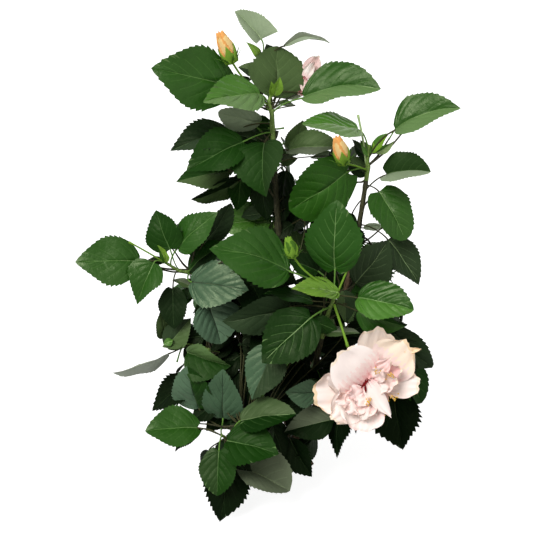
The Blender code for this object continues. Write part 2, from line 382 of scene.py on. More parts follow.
def ringFaces(rows, sides):
    # the faces of a closed tube of rings, whose last two points close its ends
    faces = []
    for i in range(rows - 1):
        for j in range(sides):
            k = (j + 1) % sides
            faces.append((i * sides + j, i * sides + k, (i + 1) * sides + k, (i + 1) * sides + j))
    last = (rows - 1) * sides
    for j in range(sides):
        k = (j + 1) % sides
        faces.append((rows * sides, k, j))
        faces.append((rows * sides + 1, last + j, last + k))
    return faces


def tube(pile, path, radii, sides, finish, wobble=0.0, finishAt=None):
    # a closed tapering tube along the path; wobble is the relief as a share of the radius
    path = [Vector(p) for p in path]
    points = []
    side = None
    for i, centre in enumerate(path):
        ahead = (path[min(i + 1, len(path) - 1)] - path[max(i - 1, 0)]).normalized()
        if side is None:
            side = ahead.orthogonal().normalized()
        side = (side - ahead * side.dot(ahead)).normalized()
        other = ahead.cross(side)
        for j in range(sides):
            turn = 2 * math.pi * j / sides
            out = side * math.cos(turn) + other * math.sin(turn)
            radius = radii[i]
            if wobble:
                grain = noise.noise(Vector((out.x * 2.2, out.y * 2.2, 0)) + centre * 90)
                ridge = noise.noise(Vector((out.x * 5, out.y * 5, 7)) + centre * 30)
                radius *= 1 + wobble * (grain + 0.7 * ridge)
            points.append(centre + out * radius)
    rows = len(path)
    points += [path[0], path[-1]]
    kinds = []
    for i in range(rows - 1):
        kinds += [finish if finishAt is None else finishAt(i / (rows - 1))] * sides
    kinds += [kinds[0], kinds[-1]] * sides
    pile.add([tuple(p) for p in points], ringFaces(rows, sides), kinds)


def smoothPath(points, steps):
    # a Catmull-Rom line through the points
    points = [Vector(p) for p in points]
    ends = [2 * points[0] - points[1]] + points + [2 * points[-1] - points[-2]]
    path = []
    for i in range(1, len(ends) - 2):
        a, b, c, d = ends[i - 1:i + 3]
        for s in range(steps):
            t = s / steps
            path.append(0.5 * (2 * b + (c - a) * t + (2 * a - 5 * b + 4 * c - d) * t * t
                               + (3 * b - a - 3 * c + d) * t * t * t))
    path.append(points[-1])
    return path


# wood: the same limbs as the solids, grown on into the shoots
trunkSizes = {"height": 0.060, "radius": 0.0105, "flare": 0.0170, "flareHeight": 0.014, "ridges": 5,
              "lean": Vector((0.004, -0.002, 0.0)), "forkSpread": 0.0075, "tipShare": 0.55}
limbs = {
    # name: (parent, share along it, end, radius, how much it rises late)
    "leader_stem": ("trunk", 0.62, (-0.034, 0.017, 0.452), 0.0050, -0.60),
    "right_stem": ("trunk", 0.66, (0.078, 0.004, 0.388), 0.0047, -0.55),
    "centre_stem": ("trunk", 0.72, (0.032, -0.084, 0.246), 0.0042, 0.20),
    "left_stem": ("trunk", 0.64, (-0.130, -0.026, 0.270), 0.0044, 0.20),
    "back_stem": ("trunk", 0.70, (0.012, 0.092, 0.262), 0.0046, 0.20),
    "front_low_stem": ("trunk", 0.52, (-0.070, -0.092, 0.102), 0.0034, 0.35),
    "left_low_stem": ("left_stem", 0.38, (-0.110, -0.046, 0.178), 0.0030, 0.20),
    "right_low_stem": ("right_stem", 0.20, (0.084, -0.038, 0.152), 0.0032, 0.20),
    "front_right_stem": ("centre_stem", 0.16, (0.025, -0.056, 0.090), 0.0027, 0.10),
    "back_left_stem": ("back_stem", 0.22, (-0.070, 0.074, 0.190), 0.0032, 0.25),
    "back_right_stem": ("back_stem", 0.30, (0.086, 0.084, 0.202), 0.0032, 0.25),
    "back_low_stem": ("back_stem", 0.12, (-0.006, 0.094, 0.112), 0.0028, 0.10),
}


def trunkPoint(share):
    return trunkSizes["lean"] * share + Vector((0, 0, trunkSizes["height"] * share))


def limbPoint(name, share):
    if name == "trunk":
        return trunkPoint(share)
    parent, fork, end, radius, rise = limbs[name]
    end = Vector(end)
    start = limbPoint(parent, fork)
    if parent == "trunk" and name != "leader_stem":
        outward = Vector((end.x - start.x, end.y - start.y, 0)).normalized()
        start = start + outward * trunkSizes["forkSpread"]
    out = end - start
    level = 0.5 * (1 - rise)
    control = start + Vector((out.x * level, out.y * level, out.z * 0.55))
    return start * (1 - share) ** 2 + control * 2 * share * (1 - share) + end * share ** 2


def limbRadius(name, share):
    return limbs[name][3] * (1 - (1 - trunkSizes["tipShare"]) * share)


# shoots that grow on from a limb's end: places on the picture with depth in cm, and end radius
shoots = {
    "leader": ("leader_stem", [((269, 102), 1.9), ((272, 93), 2.1)], 0.0016),
    "second": ("leader_stem", [((272, 118), 3.0), ((271, 98), 3.2), ((262, 62), 3.6)], 0.0010),
    "right": ("right_stem", [((368, 157), 0.3), ((370, 145), 0.2)], 0.0014),
    "centre": ("centre_stem", [((333, 301), -9.0), ((334, 293), -9.8)], 0.0016),
    "left": ("left_stem", [((180, 271), -3.2), ((171, 266), -3.6), ((163, 261), -4.0)], 0.0013),
    "leftLow": ("left_low_stem", [((195, 345), -4.8), ((183, 343), -5.0), ((171, 339), -5.2)], 0.0010),
    "frontLow": ("front_low_stem", [((230, 438), -10.6), ((221, 435), -12.0)], 0.0014),
    "rightLow": ("right_low_stem", [((378, 366), -4.6), ((386, 372), -5.2)], 0.0014),
    "frontRight": ("front_right_stem", [((326, 420), -6.4), ((334, 416), -7.0)], 0.0012),
}
shootPaths = {}


def growWood():
    wood = Pile("stems")
    sizes = trunkSizes
    rings = 34
    sides = 40
    points = []
    for i in range(rings):
        share = i / (rings - 1)
        height = sizes["height"] * share
        swell = (sizes["flare"] - sizes["radius"]) * math.exp(-height / sizes["flareHeight"])
        for j in range(sides):
            turn = 2 * math.pi * j / sides
            out = Vector((math.cos(turn), math.sin(turn), 0))
            radius = sizes["radius"] + swell * (1 + 0.35 * math.cos(sizes["ridges"] * turn))
            crack = noise.noise(Vector((out.x * 3.4, out.y * 3.4, height * 46)))
            ridge = noise.noise(Vector((out.x * 8, out.y * 8, height * 70 + 5)))
            radius *= 1 + 0.07 * crack + 0.05 * ridge
            radius *= 1 - 0.35 * max(0, share - 0.8) / 0.2
            points.append(trunkPoint(share) + out * radius)
    points += [trunkPoint(0), trunkPoint(1) + Vector((0, 0, 0.002))]
    wood.add([tuple(p) for p in points], ringFaces(rings, sides), "bark")
    for name, (parent, fork, end, radius, rise) in limbs.items():
        steps = max(30, int((Vector(end) - limbPoint(parent, fork)).length / 0.0028))
        path = [limbPoint(name, i / steps) for i in range(steps + 1)]
        start = limbPoint(parent, fork)
        if (path[0] - start).length > 0.001:      # reach back into the trunk
            path = [start.lerp(path[0], t / 4) for t in range(4)] + path
        radii = []
        for i in range(len(path)):
            share = max(0, i - (len(path) - 1 - steps)) / steps
            knuckle = 0.16 * math.exp(-((i % 9 - 4) / 1.3) ** 2)      # leaf scars at the old joints
            radii.append(limbRadius(name, share) * (1 + knuckle) * (1.25 if i < 3 else 1))
        ripe = {"leader_stem": 0.52, "right_stem": 0.62}.get(name, 0.44)

        def kindAt(share, ripe=ripe):
            return "bark" if share < ripe else "ripeStem" if share < ripe + 0.32 else "youngStem"
        tube(wood, path, radii, 14, "bark", wobble=0.10, finishAt=kindAt)
    for name, (limb, places, tip) in shoots.items():
        path = smoothPath([limbPoint(limb, 0.985)] + [spot(p, d / 100) for p, d in places], 9)
        shootPaths[name] = [limbPoint(limb, s / 40) for s in range(20, 40)] + path
        startRadius = limbRadius(limb, 1.0)
        radii = [startRadius + (tip - startRadius) * (i / (len(path) - 1)) ** 0.8 for i in range(len(path))]
        radii = [r * (1 + 0.22 * math.exp(-((i % 6 - 3) / 0.9) ** 2)) for i, r in enumerate(radii)]
        tube(wood, path, radii, 12, "youngStem", wobble=0.05)
    return wood


wood = growWood()
print("wood grown")


leafForm = {
    "rowsAtBase": (0.010, 0.035, 0.075, 0.12, 0.16),
    "veins": ((0.007, 0.21), (0.022, 0.43), (0.17, 0.61), (0.34, 0.74), (0.51, 0.85), (0.67, 0.93)),
    "veinHalf": 0.0032,        # as a share of the length
    "midribHalf": 0.00085,     # metres
    "across": (0.2, 0.4, 0.6, 0.8, 1.0),
    "teeth": 10,
    "teethFrom": 0.24,
    "toothReach": 0.075,       # as a share of the half width
    "thickness": 0.00030,
    "widest": (0.56, 1.06),    # powers of the outline, at the base and at the tip
    "quilt": 0.0075,           # how far the skin swells between veins, as a share of the length
    "ripple": 0.023,           # slow hollows and swells over the whole blade, as a share of the length
}


def leafRows():
    # where each row leaves the midrib and where it meets the edge, with its tooth and its vein
    form = leafForm
    low, span = form["teethFrom"], (0.975 - form["teethFrom"]) / form["teeth"]
    edges = [(m, False) for m in form["rowsAtBase"]]
    for start, end in form["veins"]:
        edges += [(end - 0.0035, True), (end + 0.0035, False)]
    veinEnds = np.array([end for start, end in form["veins"]])
    for j in range(form["teeth"]):
        for part in (0.0, 0.42, 0.78):
            m = low + (j + part) * span
            if np.abs(veinEnds - m).min() > 0.011:
                edges.append((m, False))
    edges.append((0.978, False))
    edges.sort()
    ends = np.array([m for m, vein in edges])
    known = [(0.0, 0.0)] + [(end, start) for start, end in form["veins"]] + [(1.0, 1.0)]
    starts = np.interp(ends, [k[0] for k in known], [k[1] for k in known])
    for i, (m, vein) in enumerate(edges):       # spread the pair of rows of each vein at the midrib
        if vein:
            starts[i] -= form["veinHalf"] * 0.9
            starts[i + 1] += form["veinHalf"] * 0.9
    starts = np.maximum.accumulate(np.maximum(starts, 0.0012 * np.arange(1, len(starts) + 1)))
    reach = (ends - low) / span
    part = reach - np.floor(reach)
    tooth = np.where(part < 0.78, part / 0.78, (1 - part) / 0.22)
    tooth = np.where(reach < 0, 0, tooth) * np.clip((1 - ends) / 0.12, 0.15, 1)
    gapEnds = np.concatenate([[0.0], veinEnds, [1.0]])
    place = np.clip(np.searchsorted(gapEnds, ends) - 1, 0, len(gapEnds) - 2)
    swell = np.sin(np.pi * (ends - gapEnds[place]) / (gapEnds[place + 1] - gapEnds[place]))
    return starts, ends, tooth, np.clip(swell, 0, 1), np.array([vein for m, vein in edges])


rowStart, rowEnd, rowTooth, rowSwell, rowVein = leafRows()
rowCount = len(rowStart)


def outline(u, powers):
    low, high = powers
    peak = low / (low + high)
    top = peak ** low * (1 - peak) ** high
    return np.clip(u, 1e-6, 1) ** low * np.clip(1 - u, 0, 1) ** high / top


def leafBlade(length, width, shape):
    # the blade in its own frame: x across, y from base to tip, z up from its face
    form = leafForm
    half = width / 2
    powers = shape.get("powers", form["widest"])
    rim = outline(rowEnd, powers)
    ribAt = form["midribHalf"] * (1.1 - 0.75 * rowEnd) / (half * np.maximum(rim, 0.12))
    ribAt = np.clip(ribAt, 0.012, 0.16)
    inner = [0.0] + list(form["across"])
    columns = []
    for s in inner:
        columns.append(ribAt if s == 0 else np.full(rowCount, s))
    heart = shape.get("heart", 0.03)
    droop = np.clip(1 - rowEnd / 0.22, 0, 1) ** 2 * heart
    fold = math.radians(shape.get("fold", 14))
    flare = shape.get("flare", 0.45)
    wave = shape.get("wave", 0.012) * length
    phase = shape.get("phase", 0.0)
    arch = shape.get("arch", 0.05) * length
    bend = shape.get("bend", 0.0) * length
    twist = math.radians(shape.get("twist", 0.0))
    quilt = form["quilt"] * length * shape.get("quilt", 1.0)

    uneven = 1 + 0.030 * np.sin(7 * rowEnd + phase) + 0.020 * np.sin(13 * rowEnd + 2.1 * phase)
    teeth = rowTooth * (0.55 + 0.6 * np.sin(5 * rowEnd + 1.7 * phase) ** 2) * shape.get("teeth", 1.0)

    def place(side, s):
        reach = rim * (1 + (uneven[::side] - 1) * s ** 4)
        reach = reach + form["toothReach"] * teeth * s ** 6 * np.maximum(rim, 0.5 * np.clip(rim * 4, 0, 1))
        x = side * half * reach * s
        u = rowStart + (rowEnd - droop - rowStart) * (0.45 * s + 0.55 * s * s)
        u = u + 0.012 * teeth * s ** 6
        return x, u

    def lift(x, u, s, side):
        near = np.abs(x) / half
        up = np.abs(x) * math.tan(fold) * (1 - flare * near)
        up = up + wave * near ** 2.5 * np.sin(9.5 * u + phase + 1.7 * side)
        ripple = form["ripple"] * length * np.sin(6.5 * u + 2.2 * x / half + phase)
        up = up + ripple * np.sin(4.1 * u - 2 * x / half + phase)
        up = up + quilt * rowSwell * np.sin(np.pi * np.clip(s, 0, 1) ** 0.8)
        return up

    def finish(x, u, z):
        y = u * length
        along = np.clip(u, 0, 1)
        z = z + arch * 4 * along * (1 - along)
        turn = twist * (along - 0.3)
        xx = x * np.cos(turn) - z * np.sin(turn)
        zz = x * np.sin(turn) + z * np.cos(turn)
        xx = xx + bend * 4 * along * (1 - along)
        return np.stack([xx, y, zz], -1)

    top = []
    for side in (-1, 1):
        strips = []
        for s in columns:
            x, u = place(side, s)
            z = lift(x, u, s, side)
            strips.append(finish(x, u, z))
        top.append(strips)
    midX = np.zeros(rowCount)
    midrib = finish(midX, rowStart, np.full(rowCount, -0.0001))
    topColumns = top[0][::-1] + [midrib] + top[1]
    # the underside has fewer columns, so each is let down until the skin between them stays under the top
    thick = form["thickness"]
    under = {}
    for side in (-1, 1):
        x, u = place(side, ribAt)
        rib = lift(x, u, ribAt, side) - 3.2 * thick
        heights = []
        for s in form["across"]:
            heights.append(lift(*place(side, s), s, side) - thick)
        low = np.minimum(heights[2], 2 * heights[3] - heights[4] - thick)
        low = np.minimum(low, np.minimum(3 * heights[0] - 2 * rib, 1.5 * heights[1] - 0.5 * rib))
        under[side] = [finish(x, u, rib), finish(*place(side, form["across"][2]), low)]
    under = [under[-1][1], under[-1][0], under[1][0], under[1][1]]
    base = finish(np.zeros(1), np.zeros(1) - 0.004, np.zeros(1) - 0.0003)
    tip = finish(np.zeros(1), np.ones(1), np.zeros(1))
    return topColumns, under, base, tip


def leafFaces():
    # vertex numbers of one blade: the rows of the top, then the underside, then base and tip
    wide = 2 * len(leafForm["across"]) + 3
    underStart = rowCount * wide
    basePoint = underStart + rowCount * 4
    tipPoint = basePoint + 1

    def over(i, c):
        return i * wide + c

    def below(i, c):
        # columns 0 and 5 are the shared edges
        if c == 0:
            return over(i, 0)
        if c == 5:
            return over(i, wide - 1)
        return underStart + i * 4 + c - 1
    faces = []
    kinds = []
    middle = wide // 2
    for i in range(rowCount - 1):
        for c in range(wide - 1):
            faces.append((over(i, c), over(i, c + 1), over(i + 1, c + 1), over(i + 1, c)))
            rib = c in (middle - 1, middle)
            edge = c in (0, wide - 2)
            side = "left" if c < middle else "right"
            kinds.append("rib" + side if rib else "vein" + side if rowVein[i] and not edge else side)
        for c in range(5):
            faces.append((below(i, c + 1), below(i, c), below(i + 1, c), below(i + 1, c + 1)))
            kinds.append("underVein" if c == 2 or (rowVein[i] and c in (1, 3)) else "under")
    last = rowCount - 1
    for c in range(wide - 1):
        side = "left" if c < middle else "right"
        faces.append((basePoint, over(0, c + 1), over(0, c)))
        faces.append((tipPoint, over(last, c), over(last, c + 1)))
        kinds += ["rib" + side if abs(c - middle + 0.5) < 1 else side, side]
    for c in range(5):
        faces.append((basePoint, below(0, c), below(0, c + 1)))
        faces.append((tipPoint, below(last, c + 1), below(last, c)))
        kinds += ["under", "under"]
    rim = np.zeros(tipPoint + 1, bool)
    for i in range(rowCount):
        rim[[over(i, 0), over(i, wide - 1)]] = True
    rim[[basePoint, tipPoint]] = True
    return faces, kinds, rim


bladeFaces, bladeKinds, bladeRim = leafFaces()


def addBlade(pile, base, tip, face, width, tones, shape):
    along = tip - base
    length = along.length
    along = along / length
    up = (face - along * face.dot(along)).normalized()
    across = along.cross(up)
    columns, under, foot, point = leafBlade(length, width, shape)
    local = np.concatenate([np.stack(columns, 1).reshape(-1, 3), np.stack(under, 1).reshape(-1, 3),
                            foot, point])
    axes = np.array([across, along, up])
    placed = local @ axes + np.array(base)
    left, right = tones
    names = {"left": left, "right": right, "veinleft": left + "Vein", "veinright": right + "Vein",
             "ribleft": left + "Rib", "ribright": right + "Rib",
             "under": leafTones[left][2], "underVein": leafTones[left][2] + "Vein"}
    pile.add(placed, bladeFaces, [names[kind] for kind in bladeKinds], bladeRim)
    wide = len(columns)
    top = placed[:rowCount * wide].reshape(rowCount, wide, 3)
    return np.concatenate([placed, ((top[:, 1:] + top[:, :-1]) / 2).reshape(-1, 3)])


def petiole(pile, base, along, joint, stemWay, thick, finish):
    # the leaf stalk, out of the stem at a slant and into the blade
    gap = (joint - base).length
    first = base - along * gap * 0.30
    second = joint + ((base - joint).normalized() * 0.55 + stemWay * 0.45) * gap * 0.35
    path, radii = [], []
    for i in range(13):
        t = i / 12
        path.append(joint * (1 - t) ** 3 + second * 3 * t * (1 - t) ** 2
                    + first * 3 * t * t * (1 - t) + base * t ** 3)
        # thicker at the stem and at the blade
        radii.append(thick * (1 + 0.55 * math.exp(-(i / 1.1) ** 2)
                              + 0.25 * math.exp(-((12 - i) / 1.6) ** 2)))
    tube(pile, path, radii, 6, finish)


def nearestOnPath(path, point):
    best = min(range(len(path) - 1), key=lambda i: (path[i] - point).length)
    return path[best], (path[best + 1] - path[best]).normalized()


def nearestInPicture(path, place):
    seen = [seenAt(p) for p in path]
    best = min(range(len(path) - 1), key=lambda i: math.hypot(seen[i][0] - place[0], seen[i][1] - place[1]))
    return path[best], (path[best + 1] - path[best]).normalized()


# cells are counted in pixels in the picture itself, and in metres from the other sides
sight = {
    "cell": 3,
    "lineCell": 4,                         # the cell in which stalks are counted
    "roundCell": 0.0036,
    "frontBlocks": ((24, 156, 3), (4, 176, 3)),        # from, up to and step, in cells across and down
    "roundBlocks": ((-75, 76, 3), (-90, 91, 3)),
    "covered": (7, 5),                     # a block is open with fewer of its nine cells covered
    "frontDepths": (-0.15, 0.011, 31),     # first depth, step and count along a line of sight
    "roundDepths": (-0.24, 0.012, 41),
}
farAway = 9                # metres, for a cell with no leaf


def cellAt(across, down, size=sight["cell"]):
    return int(across / size), int(down / size)


class Outlook:
    # one way of looking at the shrub, with the distance of the nearest leaf in each small cell of it
    def __init__(self, azimuth=None, lift=0.0):
        self.azimuth = azimuth             # without one it is the picture itself
        self.nearest = {}
        if azimuth is not None:
            turn, lift = math.radians(azimuth), math.radians(lift)
            level = math.cos(lift)
            self.right = Vector((math.cos(turn), math.sin(turn), 0))
            self.look = Vector((-math.sin(turn) * level, math.cos(turn) * level, -math.sin(lift)))
            self.up = self.right.cross(self.look)

    def cells(self, points):
        d = points - np.array(aim)
        if self.azimuth is not None:
            size = sight["roundCell"]
            across, up = d @ np.array(self.right) / size, d @ np.array(self.up) / size
            return across.astype(int), up.astype(int), d @ np.array(self.look)
        away = d[:, 1] * tiltCos - d[:, 2] * tiltSin
        up = d[:, 1] * tiltSin + d[:, 2] * tiltCos
        grow = 1 + away / picture["distance"]
        half = picture["size"] / 2
        across = (half + d[:, 0] / grow / onePixel) / sight["cell"]
        down = (half - up / grow / onePixel) / sight["cell"]
        return across.astype(int), down.astype(int), away

    def note(self, points):
        across, down, away = self.cells(points)
        for a, b, t in zip(across.tolist(), down.tolist(), away.tolist()):
            if t < self.nearest.get((a, b), farAway):
                self.nearest[(a, b)] = t

    def isOpen(self, block):
        a, b = block
        covered = sum((a + i, b + j) in self.nearest for i in (-1, 0, 1) for j in (-1, 0, 1))
        return covered < sight["covered"][0 if self.azimuth is None else 1]

    def blocks(self):
        across, down = sight["frontBlocks" if self.azimuth is None else "roundBlocks"]
        return [(a, b) for a in range(*across) for b in range(*down)]

    def pointsThrough(self, block):
        # points along the line of sight, nearest first
        a, b = block
        if self.azimuth is None:
            first, step, count = sight["frontDepths"]
            place = (a * sight["cell"] + sight["cell"] / 2, b * sight["cell"] + sight["cell"] / 2)
            return [spot(place, first + step * k) for k in range(count)]
        first, step, count = sight["roundDepths"]
        start = aim + self.right * a * sight["roundCell"] + self.up * b * sight["roundCell"]
        return [start + self.look * (first + step * k) for k in range(count)]


front = Outlook()
around = (90, 270, 180, 45, 315, 135, 225)      # degrees round, each looking 12 degrees down
outlooks = [front] + [Outlook(azimuth, 12) for azimuth in around] + [Outlook(0, 80)]


def noteLeaf(points):
    for outlook in outlooks:
        outlook.note(points)


# the leaves that lead each shoot, one by one:
# base, tip, reach (left, right) of the midrib looking from base to tip, depth (base, tip) in cm,
# tones (left, right), where its stalk leaves the stem, and what else is its own; the two tones often differ
# to paint one half of the blade lit and the other in shade

leaderLeaves = [
    ((229, 86), (151, 68), (30, 31), (1.0, -1.5), ("mid", "mid"), (268, 114),
     {"powers": (0.60, 1.02), "heart": 0.12, "stalk": "petioleGreen"}),
    ((260, 95), (203, 102), (15, 21), (1.0, -4.0), ("sheen", "bright"), (268, 104),
     {"quilt": 4.0, "wave": 0.02, "stalk": "petioleGreen"}),
    ((260, 122), (218, 112), (13, 12), (3.5, 2.0), ("silverSheen", "silverSheen"), (267, 122),
     {"powers": (0.5, 0.7)}),
    ((228, 132), (170, 151), (12, 18), (3.2, 1.0), ("slate", "dark"), (267, 126), {"teeth": 1.6}),
    ((243, 142), (186, 172), (18, 24), (1.0, -1.5), ("deep", "deep"), (267, 132), {}),
    ((265, 143), (266, 197), (20, 32), (0.6, -3.0), ("moss", "deep"), (268, 130), {"arch": 0.12}),
    ((275, 97), (277, 46), (26, 29), (2.4, 4.6), ("dusk", "dusk"), (270, 104), {"powers": (0.5, 0.72)}),
    ((284, 76), (266, 44), (16, 14), (6.2, 7.0), ("slate", "slate"), None, {}),
    ((304, 98), (381, 89), (26, 13), (2.5, 0.5), ("mid", "sheen"), (271, 114),
     {"bend": -0.08, "powers": (0.60, 0.86), "stalk": "petioleGreen"}),
    ((261, 39), (235, 11), (5, 21), (3.4, 6.2), ("silverSheen", "silverSheen"), (262, 62),
     {"shoot": "second", "powers": (0.06, 0.80), "heart": 0.24, "wave": 0.004}),
    ((285, 46), (331, 44), (5, 2), (4.4, 5.4), ("stone", "silverSheen"), (265, 66),
     {"arch": 0.17, "shoot": "second"}),
    ((262, 59), (246, 42), (4, 4), (3.5, 2.8), ("young", "young"), (262, 62),
     {"ratio": 0.4, "shoot": "second"}),
    ((258, 72), (238, 67), (6, 7), (4.4, 4.8), ("slate", "dusk"), None, {}),
    ((302, 95), (275, 98), (4, 7), (4.0, 4.2), ("stone", "stone"), None, {}),
    ((293, 105), (274, 103), (3, 3), (4.6, 4.6), ("silverSheen", "silverSheen"), None, {}),
    ((274, 95), (280, 77), (5, 6), (1.9, 1.4), ("young", "young"), (272, 95), {"ratio": 0.55, "fold": 30}),
    ((272, 96), (271, 81), (3, 4), (1.9, 1.3), ("young", "young"), (272, 95), {"ratio": 0.45, "fold": 30}),
    ((262, 143), (279, 131), (8, 7), (3.4, 3.8), ("dark", "slate"), (268, 140), {}),
    ((270, 142), (275, 131), (4, 4), (3.0, 2.8), ("mid", "mid"), (268, 144), {}),
    ((257, 141), (233, 134), (6, 8), (4.0, 4.2), ("dark", "slate"), (267, 140), {}),
    ((228, 172), (176, 182), (15, 14), (3.0, 1.6), ("dusk", "deep"), (266, 165), {}),
    ((238, 181), (191, 200), (11, 9), (3.2, 1.4), ("dusk", "dark"), (266, 176), {}),
    ((280, 161), (298, 158), (5, 6), (5.0, 5.0), ("stone", "dusk"), None, {}),
    ((289, 150), (338, 147), (17, 7), (4.2, 2.6), ("dusk", "stone"), (268, 152), {"powers": (0.45, 0.7)}),
    ((292, 150), (303, 120), (11, 13), (5.2, 5.6), ("dusk", "dusk"), None, {}),
    ((337, 157), (310, 158), (5, 5), (4.8, 4.8), ("stone", "dusk"), None, {}),
    ((240, 174), (237, 211), (12, 11), (3.6, 3.4), ("deep", "deep"), (267, 170), {}),
    ((287, 172), (281, 228), (13, 14), (3.4, 2.4), ("dark", "dark"), (266, 168), {}),
    ((262, 178), (268, 222), (12, 13), (3.4, 3.0), ("dark", "dark"), (266, 174), {}),
    ((262, 214), (241, 217), (5, 9), (4.2, 4.2), ("slate", "slate"), (267, 212), {}),
    ((290, 196), (292, 232), (9, 10), (3.4, 3.0), ("dark", "night"), (267, 205), {}),
    ((320, 206), (311, 232), (10, 5), (4.4, 4.0), ("dark", "dark"), None, {}),
]

rightLeaves = [
    ((396, 130), (461, 108), (23, 12), (-0.8, -2.4), ("soft", "sheen"), (371, 158),
     {"bend": -0.08, "stalk": "petioleDark"}),
    ((358, 130), (302, 124), (9, 12), (0.6, -1.6), ("sheen", "bright"), (368, 152),
     {"quilt": 3.0, "powers": (0.30, 0.8)}),
    ((346, 173), (289, 210), (30, 27), (-0.4, -3.0), ("lush", "lush"), (366, 169),
     {"heart": 0.15, "powers": (0.42, 0.66), "stalk": "petioleGreen"}),
    ((379, 192), (406, 240), (21, 18), (0.4, -2.0), ("soft", "soft"), (367, 183),
     {"heart": 0.06, "powers": (0.28, 0.55), "stalk": "petioleDark"}),
    ((387, 175), (431, 172), (20, 9), (0.6, -2.6), ("moss", "silverSheen"), (367, 190),
     {"bend": -0.04, "heart": 0.10, "powers": (0.38, 0.62), "stalk": "petioleDark"}),
    ((373, 152), (389, 133), (5, 5), (0.1, -0.4), ("bright", "young"), (370, 153),
     {"ratio": 0.5, "fold": 26}),
    ((376, 153), (394, 141), (3, 5), (0.0, -0.6), ("bright", "pearlSheen"), (370, 155), {"ratio": 0.5}),
    ((370, 156), (360, 140), (4, 5), (0.3, 0.5), ("bright", "dusk"), (369, 157), {"ratio": 0.5}),
    ((367, 161), (352, 139), (5, 6), (0.8, 1.4), ("dark", "slate"), (368, 162), {"ratio": 0.5}),
    ((366, 174), (343, 157), (9, 9), (0.9, 0.5), ("dark", "dusk"), (366, 176), {}),
    ((371, 154), (373, 141), (2, 3), (0.2, 0.0), ("bright", "young"), (370, 154), {"ratio": 0.4}),
    ((388, 240), (419, 285), (18, 13), (0.4, -1.8), ("slateVeined", "slateVeined"), (364, 227),
     {"stalk": "petioleDark"}),
    ((355, 283), (389, 240), (19, 24), (-5.0, -2.6), ("slateVeined", "slateVeined"), (337, 298),
     {"shoot": "centre"}),
    ((364, 228), (385, 228), (4, 4), (4.4, 4.4), ("silverSheen", "silverSheen"), (363, 226), {}),
    ((352, 214), (341, 243), (9, 12), (1.2, 0.4), ("dark", "deep"), (362, 200), {"stalk": "petioleDark"}),
]

centreLeaves = [
    ((288, 271), (209, 249), (27, 29), (-9.6, -11.6), ("mid", "mid"), (330, 290),
     {"bend": 0.04, "arch": 0.07, "quilt": 1.5}),
    ((335, 269), (337, 200), (28, 27), (-9.4, -9.6), ("veined", "veined"), (334, 296),
     {"arch": 0.10, "heart": 0.08, "quilt": 1.6, "powers": (0.50, 0.80)}),
    ((338, 293), (291, 289), (8, 13), (-10.2, -12.4), ("fresh", "fresh"), (334, 296),
     {"ratio": 0.55, "quilt": 6.0, "wave": 0.03}),
    ((358, 298), (414, 310), (23, 16), (-9.8, -12.6), ("mid", "bright"), (336, 297),
     {"fold": 16, "quilt": 3.5, "powers": (0.45, 0.75)}),
    ((358, 311), (406, 326), (8, 17), (-9.4, -10.6), ("deep", "mid"), (334, 304), {}),
    ((311, 318), (262, 363), (27, 26), (-10.4, -12.6), ("veinedShade", "veinedShade"), (330, 307),
     {"heart": 0.08, "powers": (0.45, 0.9)}),
    ((385, 322), (432, 368), (15, 17), (-6.4, -7.4), ("slate", "slate"), (336, 306),
     {"powers": (0.75, 0.75)}),
    ((343, 291), (346, 323), (11, 8), (-8.0, -8.4), ("slate", "dusk"), (334, 300), {}),
    ((312, 321), (338, 331), (9, 9), (-8.6, -9.0), ("deep", "deep"), (332, 308), {}),
    ((289, 307), (222, 322), (22, 16), (-7.6, -8.6), ("slate", "slate"), (329, 309), {}),
    ((312, 301), (262, 294), (7, 7), (-8.4, -9.0), ("deep", "deep"), (331, 303), {}),
    ((326, 334), (360, 333), (5, 5), (-9.2, -9.6), ("stone", "dusk"), None, {}),
    ((276, 346), (252, 400), (20, 21), (-9.0, -10.6), ("slate", "gloss"), (326, 318), {"quilt": 1.6}),
    ((318, 392), (285, 392), (15, 12), (-8.4, -9.2), ("gloss", "gloss"), None, {"quilt": 3.0}),
]

